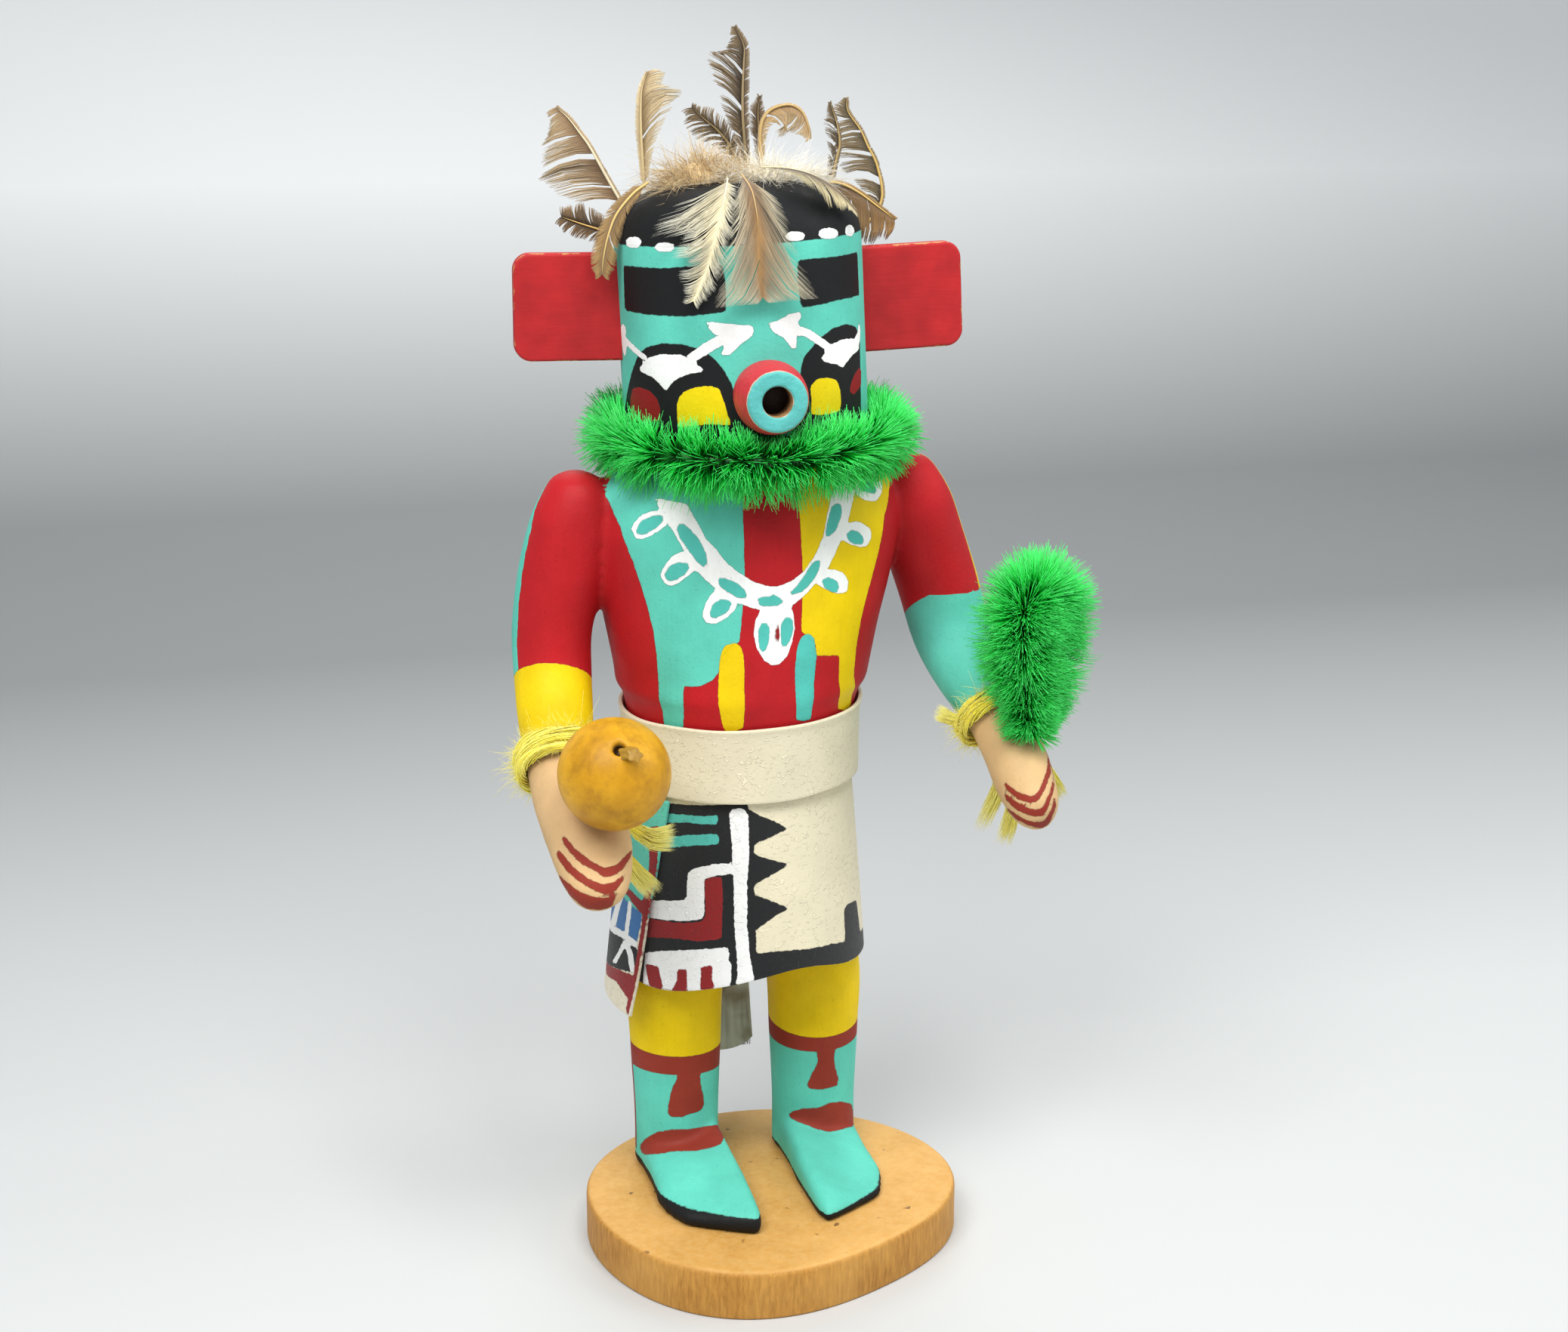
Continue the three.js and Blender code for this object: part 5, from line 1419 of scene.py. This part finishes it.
def gourd():
    turns = np.linspace(-math.pi / 2, math.pi / 2, 61)
    bm = spun([(abs(GOURD_RADIUS * math.cos(t)), GOURD_RADIUS * math.sin(t)) for t in turns], 96)
    bmesh.ops.rotate(bm, matrix=STEM_WAY.to_track_quat("Z", "Y").to_matrix(), verts=bm.verts, cent=(0, 0, 0))
    for vert in bm.verts:
        way = vert.co.normalized()
        near_stem = max(0.0, 1 - (way - STEM_WAY).length / 0.3)
        near_hole = max(0.0, 1 - (way - HOLE_WAY).length / 0.15)
        size = GOURD_RADIUS * (1 + 0.012 * near_stem - 0.2 * min(1.0, 1.7 * near_hole))
        vert.co = way * size
    mesh = as_mesh(bm, "gourd")
    stem = flow([(0, 0, 12.6, 2.1), (0, 0, 13.5, 1.8), (0, 0, 14.6, 1.6), (0, 0, 15.8, 1.55),
                 (0, 0, 16.5, 1.7), (0, 0, 16.8, 1.3)], 24)

    def stem_place(turn, way):
        x0, y0, z0, size = stem[round(way * 23)]
        lean = math.tau * turn
        lobes = 1 + 0.16 * math.cos(5 * lean + 0.5)
        return (x0 + size * lobes * math.cos(lean), y0 + size * lobes * math.sin(lean), z0)

    nub = as_mesh(rolled(30, 23, stem_place), "stem")
    nub.transform(STEM_WAY.to_track_quat("Z", "Y").to_matrix().to_4x4())
    for vert in nub.vertices:
        out = (vert.co.dot(STEM_WAY) - 12.6) / 4.2
        vert.co += Vector((0.9, -0.2, -1.7)) * out ** 2
    keep(mesh, "stem", 0)
    keep(nub, "stem", 1)
    keep(mesh, "hole", [max(0.0, 1 - (v.co.normalized() - HOLE_WAY).length / 0.15) for v in mesh.vertices])
    whole = merged("gourd", [mesh, nub])
    whole.transform(Matrix.Translation(GOURD_CENTRE))
    return whole


def gourd_skin():
    recipe = Recipe("gourd_skin", 0.45, Specular_IOR_Level=0.28)
    broad = recipe.noise(70, 4, rough=0.55)
    colour = recipe.mix(recipe.fit(broad, 0.35, 0.65), tint("#b9820c"), tint("#dda41e"))
    blotch = recipe.fit(recipe.noise(170, 5, rough=0.65), 0.45, 0.68, 0, 0.65)
    colour = recipe.mix(blotch, colour, tint("#976614"))
    specks = recipe.fit(recipe.noise(900, 2), 0.68, 0.78, 0, 0.35)
    colour = recipe.mix(specks, colour, tint("#7a4a14"))
    stem = recipe.mix(recipe.noise(1, 3, recipe.place((900, 300, 300))), tint("#7d5a1c"), tint("#c59a3c"))
    colour = recipe.mix(recipe.attribute("stem"), colour, stem)
    # The hole is only a shallow dent; its dark brown is painted shade.
    colour = recipe.mix(recipe.fit(recipe.attribute("hole"), 0.05, 0.3), colour, tint("#3a220e"))
    relief = recipe.fit(recipe.noise(220, 4), 0.2, 0.8, 0, 1)
    return recipe.finish(colour, relief, 0.00008, 1.0)


finished("dry_gourd", gourd(), "gourd_skin", gourd_skin(), "gourd")

# %% [markdown]
# ## Yarn
# Soft yellow yarn is wound three times round one wrist and twice round the other, and its ends hang
# loose. Every turn is a bundle of twisted strands with fuzz standing off, and an end flares into
# separate fibres.
# %% Yarn
def wrist_frame(stations, station=7):
    spans = len(stations) - 1
    centres, side, up, sizes, ahead = sections(stations, spans * 10)
    i = station * 10
    return centres[i], side[i], up[i], sizes[i], ahead[i]


def wound(stations, turns_at, tufts, seed):
    """Turns of yarn round a wrist, their fuzz and the loose ends"""
    dice = np.random.default_rng(seed)
    centre, side, up, (wide, high), ahead = wrist_frame(stations)

    def round_wrist(turn, out, forward):
        turn, out, forward = (np.asarray(a, float)[..., None] for a in (turn, out, forward))
        across = side * (wide + out) * np.cos(turn) + up * (high + out) * np.sin(turn)
        return centre + ahead * forward + across

    steps = 72
    turn = np.linspace(0, math.tau, steps)
    strands, widths = [], []
    for k, forward in enumerate(turns_at):
        for _ in range(44):
            spread, start = 1.4 * math.sqrt(dice.random()), dice.uniform(0, math.tau)
            twist = start + turn * 1.6 + 0.5 * np.sin(turn * 3 + k + start)
            loose = 1 + 0.22 * np.sin(turn * 5 + 2 * start)
            strands.append(round_wrist(turn + 0.7 * k, 1.95 + spread * loose * np.cos(twist) * 0.9,
                                       forward + 0.35 * np.sin(turn + k) + spread * loose * np.sin(twist)))
            widths.append(dice.uniform(0.14, 0.26))
    turns = grown("turns", strand_body(3, 36, taper=0), np.array(strands), np.array(widths),
                  dice.random(len(strands)))
    fuzz = []
    for _ in range(2000):
        a, f = dice.uniform(0, math.tau), dice.uniform(turns_at[0] - 1.6, turns_at[-1] + 1.6)
        start = round_wrist(a, dice.uniform(1.5, 3.0), f)
        out = round_wrist(a, 3.5, f) - round_wrist(a, 2.5, f)
        drift = dice.normal(0, 1, 3) * 0.9
        reach = 0.6 + 2.6 * dice.random() ** 2.2
        curl = dice.normal(0, 0.6, 3)
        middle = start + (out + drift) * reach * 0.5 + curl * 0.4
        fuzz.append([start, middle, start + (out * 0.8 + drift) * reach + curl])
    fuzz = grown("fuzz", bristle, np.array(fuzz), 0.055, dice.random(len(fuzz)))
    parts = [turns, fuzz]
    share = np.linspace(0, 1, 7)
    for degrees, via, end, spread, count in tufts:
        root = round_wrist(math.radians(degrees), 1.6, 0)
        middle = flow([tuple(root), via, end], 7)
        ahead_tuft = (np.array(end) - via) / np.linalg.norm(np.array(end) - via)
        hairs = []
        for _ in range(count):
            across = np.cross(ahead_tuft, dice.normal(0, 1, 3))
            offset = across / np.linalg.norm(across) * math.sqrt(dice.random())
            reach = share * dice.uniform(0.8, 1.0)
            path = np.stack([np.interp(reach, share, middle[:, k]) for k in range(3)], 1)
            flare = 0.95 + (spread - 0.95) * share ** 1.5
            wave = dice.normal(0, 0.25, 3) * (np.sin(share * 6 + offset[0] * 4) * share)[:, None]
            hairs.append(path + offset * flare[:, None] + wave)
        parts.append(grown("tuft", strand_body(3, 4), np.array(hairs), dice.uniform(0.1, 0.2, count),
                           dice.random(count)))
    return merged("yarn", parts)


def yarn_wool():
    recipe = Recipe("yellow_wool", 0.9, Specular_IOR_Level=0.2, Sheen_Weight=0.3, Sheen_Roughness=0.5)
    shade = recipe.attribute("shade")
    colour = recipe.mix(shade, tint("#fdea2e"), tint("#fff878"))
    colour = recipe.mix(recipe.fit(recipe.attribute("along"), 0.5, 1, 0, 0.5), colour, tint("#fffbb4"))
    return recipe.finish(colour)


wool = yarn_wool()
GOURD_YARN_ENDS = [(-35, (-33.4, -26.5, 113.6), (-24.6, -27.5, 113), 3.6, 520),
                   (-62, (-37, -26.5, 107.4), (-30, -28, 98.6), 2.9, 460)]
BRUSH_YARN_ENDS = [(178, (50, -19.5, 135), (45.6, -19, 137.4), 2.2, 260),
                   (-100, (67, -13, 117), (59.2, -16, 102.6), 2.3, 280),
                   (-75, (69.5, -15, 111), (64.6, -19.5, 99.6), 2.4, 300),
                   (-35, (79, -15, 117), (83.4, -14, 109), 2.1, 220)]
gourd_wrist = wound(GOURD_ARM, turns_at=(-2.4, 0, 2.4), tufts=GOURD_YARN_ENDS, seed=7)
finished("yarn_on_gourd_wrist", gourd_wrist, "yarn", wool, "wrist_yarn_a")
brush_wrist = wound(BRUSH_ARM, turns_at=(-1.2, 1.2), tufts=BRUSH_YARN_ENDS, seed=9)
finished("yarn_on_brush_wrist", brush_wrist, "yarn", wool, "wrist_yarn_b")

# %% [markdown]
# ## Down
# The feathers stand in a tuft of down on the crown: tan fluff on one side, nearly white on the
# other. It is a soft heap of fine curled barbs over a small matted heart.
# %% Down
DOWN_LOBES = [((-10, 0, 267), (13.5, 13, 10.5), 0.0), ((5, -3.5, 268.6), (16.5, 12, 6.2), 1.0)]


def down():
    dice = np.random.default_rng(23)
    ts = np.linspace(0, 1, 5)
    parts = []
    for centre, radii, tone in DOWN_LOBES:
        heart = bmesh.new()
        bmesh.ops.create_icosphere(heart, subdivisions=4, radius=1)
        for vert in heart.verts:
            lumps = 0.6 + 0.06 * math.sin(5 * vert.co.x + 3 * vert.co.z) + 0.05 * math.sin(9 * vert.co.y + 2)
            vert.co = Vector(c + r * lumps * v for c, r, v in zip(centre, radii, vert.co))
        heart = as_mesh(heart, "heart")
        for key, value in (("along", 0.35), ("shade", 0.4), ("rise", tone)):
            keep(heart, key, value)
        parts.append(heart)
        hairs = []
        for _ in range(290):
            way = dice.normal(0, 1, 3)
            way[2] = abs(way[2]) * 0.9 - 0.15
            way /= np.linalg.norm(way)
            curl = dice.normal(0, 0.6, 3) - (0, 0, 0.25)
            for _ in range(11):
                hair_way = way + dice.normal(0, 0.16, 3)
                root = np.array(centre) + np.array(radii) * hair_way * dice.uniform(0.35, 0.75)
                out = way * np.array(radii) / np.linalg.norm(radii) * 1.6 + dice.normal(0, 0.3, 3)
                out /= np.linalg.norm(out)
                bend = curl + dice.normal(0, 0.25, 3)
                reach = dice.uniform(3.5, 7.0)
                hairs.append([root + out * reach * s + bend * reach * s * s * 0.8 for s in ts])
        for _ in range(60):
            turn = dice.uniform(0, math.tau)
            root = np.array(centre) + np.array(radii) * (0.6 * math.cos(turn), 0.6 * math.sin(turn), 0.5)
            out = np.array((math.cos(turn), 0.8 * math.sin(turn), dice.uniform(0.0, 0.5)))
            bend = np.array((0, 0, -0.5)) + dice.normal(0, 0.35, 3)
            reach = dice.uniform(7, 13)
            hairs.append([root + out * reach * s + bend * reach * s * s for s in ts])
        parts.append(grown("hairs", strand_body(3, 3), np.array(hairs), dice.uniform(0.04, 0.09, len(hairs)),
                           dice.random(len(hairs)), extra=np.full(len(hairs), tone)))
    return merged("down", parts)


def down_fluff():
    recipe = Recipe("down_fluff", 0.85, Specular_IOR_Level=0.2, Sheen_Weight=0.4, Sheen_Roughness=0.4)
    tan = recipe.mix(recipe.attribute("shade"), tint("#bb9862"), tint("#efd8a8"))
    pale = recipe.mix(recipe.attribute("shade"), tint("#f3e6c2"), tint("#fffdf6"))
    blend = recipe.sum(recipe.attribute("rise"), recipe.fit(recipe.noise(120, 3), 0.3, 0.7, -0.25, 0.25))
    return recipe.finish(recipe.mix(recipe.fit(blend, 0.25, 0.75), tan, pale))


finished("crown_down", down(), "down", down_fluff(), "down_pad")

# %% [markdown]
# ## Feathers
# Fourteen feathers stand in the down. Each one is a quill with two rows of barbs that leave it at a
# slant and curve towards its edge, and the barbs are hooked together in clumps, with gaps between
# them where the feather is worn. A line of stations gives the quill: place, then the vane's width
# on each side of it.
# %% Feather shapes
FEATHERS = {
    "wing": [(-27.2, 10, 263.6, 5, 0.8), (-30.5, 11, 269.6, 11, 0.8), (-33, 11, 274.1, 13, 0.8),
             (-35.2, 11, 278, 12, 0.8), (-37.4, 11, 281, 9.6, 0.8), (-40.2, 11, 284.6, 6.4, 0.8),
             (-43.2, 11, 287.3, 2.6, 0.6)],
    "stub": [(-29.8, 7.6, 257, 2, 3), (-37.5, 8, 259.4, 3.6, 4.4), (-43, 8, 261.4, 2, 2.2)],
    "drape": [(-23.8, -3, 269.8, 1, 1), (-27.8, -4, 267.2, 1.8, 1.6), (-32, -4.6, 262.5, 2.6, 2.4),
              (-34.3, -5, 257.2, 2.8, 2.8), (-35.5, -5, 252, 2.8, 2.8), (-35.8, -4.8, 248.4, 1.6, 1.6)],
    "upright": [(-23, 5, 268, 0.7, 0.7), (-23.4, 5, 276, 1, 3), (-23.6, 5, 281.3, 1.3, 6),
                (-23.6, 5, 287, 1.2, 8.6), (-23.2, 5, 291.5, 0.9, 8.8), (-21.8, 5, 295.6, 0.5, 4)],
    "tall": [(4, 9, 270.4, 0.8, 0.8), (3.5, 9, 277, 2, 1.2), (2.9, 9, 284.6, 4.2, 1.6),
             (2.9, 9, 291.5, 7, 1.6), (3.2, 9, 297.5, 8, 1.5), (3.2, 9, 301.7, 5, 1.2),
             (0.9, 9, 306.3, 0.8, 0.6)],
    "tall_side": [(3.4, 12, 270, 1.2, 1.2), (1, 12, 276.6, 2.6, 2.4), (-2.4, 12, 281, 4, 3.2),
                  (-5.8, 12, 283.9, 4.6, 2.8), (-9.3, 12, 287, 2.4, 1)],
    "short": [(6.2, 4, 272, 0.6, 0.6), (5.7, 4, 280, 1.8, 1.6), (5.4, 4, 285.6, 2, 1.6),
              (5.9, 4, 289.7, 0.7, 0.7)],
    "curled": [(5.4, 1, 273, 0.5, 0.8), (5.1, 1, 281.2, 0.5, 2), (6.4, 1, 285.2, 0.5, 4),
               (9.1, 1, 287.1, 0.5, 6.4), (12.9, 1, 287.6, 0.5, 7.6), (15.8, 1, 285.8, 0.5, 6.4),
               (17.4, 1, 282, 0.5, 3.6),
               (17.8, 1, 279.4, 0.4, 1.2)],
    "spike": [(23.4, 5, 265, 1, 1), (25.8, 5, 274.5, 2.4, 0.8), (26.6, 5, 278.2, 3, 0.7),
              (25.9, 5, 282.8, 3, 0.6), (24, 5, 288.2, 0.5, 0.5)],
    "hook": [(28.3, 8.5, 256, 1, 1), (35, 8.5, 258.6, 1.6, 0.8), (38.9, 8.5, 264.4, 4.4, 0.8),
             (37.6, 8.5, 272.4, 7.6, 0.8), (35, 8.5, 277.5, 7.8, 0.8), (33, 8.5, 281.5, 7, 0.8),
             (29.8, 8.5, 285.8, 4, 0.8), (29.4, 8.5, 289.4, 0.6, 0.6)],
    "folded": [(22, 2, 269, 0.8, 3), (26, 2, 268.6, 0.8, 6), (30.7, 2, 266.4, 0.8, 8),
               (36.7, 2, 262.2, 0.8, 8), (40.3, 2, 259.5, 0.8, 5)],
    "plume_right": [(1.5, -13, 273.4, 0.8, 2), (6.5, -15.6, 273.3, 0.8, 7), (11.5, -18.2, 272.2, 0.8, 8.4),
                    (15.8, -20.6, 269.9, 0.8, 8), (19.4, -21.9, 266.8, 0.8, 5.6),
                    (22.4, -21.8, 263.6, 0.6, 1.6)],
    "plume_left": [(-7.4, -15.5, 271, 2, 7), (-10.6, -25, 267.2, 3, 13), (-13.5, -28.8, 260, 3.6, 9),
                   (-15.6, -28.4, 252.4, 4, 6), (-18.8, -26.4, 243.4, 2, 2.4)],
    "plume_centre": [(-4.6, -17.5, 272.2, 3, 3), (-4.8, -28, 268.4, 7, 6), (-4.6, -32.4, 261.2, 11, 9),
                     (-4.4, -33.2, 252.8, 13, 10), (-3.8, -33.3, 244.5, 14, 10)],
}

# %% Feather looks
# For each feather: barbs per millimetre, their half width, how loose they are, how far they slant
# to the tip, gaps as (side, from, to) along the quill, then the colour near the quill, at the edge
# and of the quill.
FEATHER_LOOKS = {
    "wing": (8, 0.15, 0.45, 0.5, [(1, 0.44, 0.5), (1, 0.17, 0.19)], "#85694a", "#bfa67e", "#efe0bb"),
    "stub": (7, 0.15, 0.8, 0.8, [], "#4a3a26", "#8f7045", "#d8b468"),
    "drape": (9, 0.13, 0.5, 1.6, [(1, 0.6, 0.63)], "#6d5333", "#b8945a", "#dcbb72"),
    "upright": (9, 0.13, 0.35, 1.1, [(-1, 0.4, 0.43)], "#a98f68", "#d3c19a", "#cfb888"),
    "tall": (8, 0.15, 0.9, 0.9, [(1, 0.42, 0.46), (1, 0.66, 0.69)], "#4b3c29", "#86704f", "#9d8861"),
    "tall_side": (6, 0.14, 1.2, 1.0, [(1, 0.5, 0.55)], "#54452f", "#8d7653", "#8b7449"),
    "short": (6, 0.13, 1.4, 1.3, [], "#4b3b29", "#7d6544", "#8d7348"),
    "curled": (8, 0.12, 0.8, 0.9, [(-1, 0.4, 0.43)], "#a5855a", "#cdb283", "#c4a468"),
    "spike": (6, 0.13, 1.5, 1.5, [(1, 0.45, 0.5), (1, 0.65, 0.7)], "#4a3d29", "#7b6746", "#a88e59"),
    "hook": (7, 0.15, 0.7, 0.7, [(1, 0.42, 0.47), (1, 0.6, 0.63), (1, 0.76, 0.78)],
             "#5a4d35", "#9a8561", "#d6b263"),
    "folded": (9, 0.15, 0.4, 1.0, [(-1, 0.55, 0.57)], "#6a4e2d", "#ac8850", "#dcb967"),
    "plume_right": (10, 0.14, 0.4, 1.2, [], "#4f3a1e", "#d8cba0", "#e6d8ab"),
    "plume_left": (8, 0.085, 2.6, 1.3, [], "#e9dcb4", "#f3eeda", "#f3e8c4"),
    "plume_centre": (6.5, 0.075, 1.2, 2.2, [], "#8d6a3a", "#efe6c8", "#c9a468"),
}
FACINGS = {"drape": (-0.3, -0.95, 0.1)}


def outward(spot):
    """Away from the head's domed top, for the plumes that lie over its brow"""
    power, steepness = 2.2, 1.66
    rise = max(0.0, (spot[2] - HEAD_TOP + DOME_HEIGHT) / DOME_HEIGHT)
    reach = math.hypot(spot[0], spot[1])
    spread = (reach / HEAD_RADIUS) ** power / max(reach, 1e-6)
    way = np.array([spot[0] * spread, spot[1] * spread, rise ** power * steepness])
    return way / np.linalg.norm(way)


def draped(paths, tree, room):
    """Points of paths that lie in a surface, or nearer to it than room, are laid on it"""
    flat = paths.reshape(-1, 3)
    for k, spot in enumerate(flat):
        near, normal, _, _ = tree.find_nearest(Vector(spot))
        if (Vector(spot) - near).dot(normal) < room:
            flat[k] = near + normal * room
    return flat.reshape(paths.shape)


def feather(name, seed):
    crowd, thick, loose, slant, gaps, *_ = FEATHER_LOOKS[name]
    dice = np.random.default_rng(seed)
    line = flow(FEATHERS[name], 200)
    spots = line[:, :3]
    steps = np.linalg.norm(np.diff(spots, axis=0), axis=1)
    run = np.concatenate([[0], np.cumsum(steps)])
    length = run[-1]
    ahead = np.gradient(spots, axis=0)
    ahead /= np.linalg.norm(ahead, axis=1)[:, None]
    plume = name.startswith("plume")
    facing = np.array([outward(p) if plume else FACINGS.get(name, (0, -1, 0)) for p in spots])
    side = np.cross(facing, ahead)
    side /= np.linalg.norm(side, axis=1)[:, None]
    front = np.cross(ahead, side)

    def at(values, where):
        where = np.clip(where, 0, length)
        if values.ndim == 1:
            return np.interp(where, run, values)
        return np.stack([np.interp(where, run, values[:, k]) for k in range(3)], -1)

    barbs, widths, shades = [], [], []
    hold = min(0.3, 0.3 * loose)
    ts = np.linspace(0, 1, 6)
    for hand, column in ((1, 3), (-1, 4)):
        splits = np.cumsum(dice.uniform(1.2, 5.5, 60)) * max(1.0, 1.9 - loose)
        for root in np.linspace(0.05, 0.99, int(length * crowd)) * length:
            share = root / length
            if any(hand == g[0] and g[1] < share < g[2] for g in gaps) or dice.random() < 0.04:
                continue
            web = np.searchsorted(splits, root)
            middle = splits[web] - (splits[web] - (splits[web - 1] if web else 0)) / 2
            reach = at(line[:, column], root + 0.5 * slant * at(line[:, column], root))
            reach = reach * dice.uniform(0.98, 1.12) * (1 + 0.06 * loose * math.sin(3.7 * web + hand))
            forward = slant * reach * (1 - 0.35 * share) + hold * (middle - root) * min(1, reach / 4)
            forward += dice.normal(0, 0.04 * loose) * reach
            room = min(1, (length + 1.2 - root) / max(forward, 0.1))
            forward, reach = forward * room, reach * room ** 0.8
            sway = dice.normal(0, 0.03 * loose) * reach + 0.05 * math.sin(2.3 * web) * reach
            along = root + forward * (1 - (1 - ts) ** 1.5)
            over = np.maximum(0, along - length)
            spot = at(spots, along) + at(ahead, along) * over[:, None]
            lift = at(front, along) * (sway * ts - 0.04 * reach * ts ** 2)[:, None]
            barbs.append(spot + at(side, along) * (hand * reach * ts ** 1.08)[:, None] + lift)
            widths.append(thick * dice.uniform(0.8, 1.15))
            shades.append(0.5 + 0.22 * math.sin(5.1 * web + hand) + dice.normal(0, 0.15))
    barbs = np.array(barbs)
    if plume or name in ("drape", "folded"):
        barbs = draped(barbs, figure_tree, 0.5)
        spots = draped(spots[None].copy(), figure_tree, 0.6)[0]
    barb = strand_body(3, 3, 0.9 if plume else 0.7, flat=0.4)
    vane = grown("vane", barb, barbs, np.array(widths), np.array(shades),
                 facing=at(front, length / 2), extra=np.zeros(len(barbs)))
    thickness = 0.22 if plume else 0.36 if length > 20 else 0.26
    bare = (spots + front * 0.12)[:110 if plume else 200]
    quill = grown("quill", strand_body(6, 36), [bare], thickness, [0.5], extra=[1.0])
    return merged(name, [vane, quill])


def feather_finish(name):
    near, far, quill = (tint(code) for code in FEATHER_LOOKS[name][5:])
    recipe = Recipe(f"feather_{name}", 0.55, Specular_IOR_Level=0.35, Sheen_Weight=0.2)
    colour = recipe.mix(recipe.fit(recipe.attribute("along"), 0.1, 0.85), near, far)
    colour = recipe.shaded(colour, recipe.fit(recipe.attribute("shade"), 0, 1, 0.7, 1.25))
    return recipe.finish(recipe.mix(recipe.attribute("rise"), colour, quill))


for seed, name in enumerate(FEATHERS):
    finished(f"plumage_{name}", feather(name, seed), "feather", feather_finish(name), f"feather_{name}")

# %% [markdown]
# ## Tail
# A narrow strip of pelt hangs behind from under the belt. Its short grey hair lies downwards, with
# browner patches near the top.
# %% Tail
def tail_place(turn, way):
    across = turn - 0.5
    height = 28.4 + (119.2 - 28.4) * way + 16 * abs(across) ** 2.4 * (1 - way) ** 3
    half = 8.4 - 3.0 * way
    back = kilt_outer(max(height, 74)) + 1.2 - 0.8 - 1.6 * max(0, 0.5 - way)
    return (2.2 - 1.4 * way + 2 * across * half, back + 0.3 * math.sin(9 * way) * (1 - way), height)


def tail():
    dice = np.random.default_rng(31)
    skin = hide(16, 60, tail_place, thickness=-1.5, closed=False)
    keep(skin, "along", 0.1)
    keep(skin, "shade", 0.3)
    hairs = []
    for _ in range(5200):
        turn, way = dice.random(), dice.random() ** 0.95
        root = np.array(tail_place(turn, way)) + (0, 1.5, 0)
        reach = min(dice.uniform(4.5, 7.5), root[2] - 27.5)
        part = math.sin(turn * 21 + way * 4) * 0.5
        drift = np.array([part + dice.normal(0, 0.5), 1.1 + dice.normal(0, 0.25), -reach])
        hairs.append([root, root + drift * (0.5, 0.8, 0.45), root + drift * (1.1, 0.95, 1)])
    return merged("tail", [skin, grown("hair", bristle, np.array(hairs), dice.uniform(0.09, 0.16, len(hairs)),
                                       dice.random(len(hairs)))])


def tail_fur():
    recipe = Recipe("grey_pelt", 0.6, Specular_IOR_Level=0.3)
    grey = recipe.mix(recipe.attribute("shade"), tint("#a5a494"), tint("#dcdccf"))
    streak = recipe.fit(recipe.noise(1, 3, recipe.place((500, 500, 40))), 0.45, 0.65, 0, 0.6)
    grey = recipe.mix(streak, grey, tint("#7d7a6a"))
    brown = recipe.fit(recipe.noise(60, 3), 0.5, 0.62, 0, 0.7)
    return recipe.finish(recipe.mix(brown, grey, tint("#66502f")))


finished("pelt_tail", tail(), "tail_fur", tail_fur(), "tail")
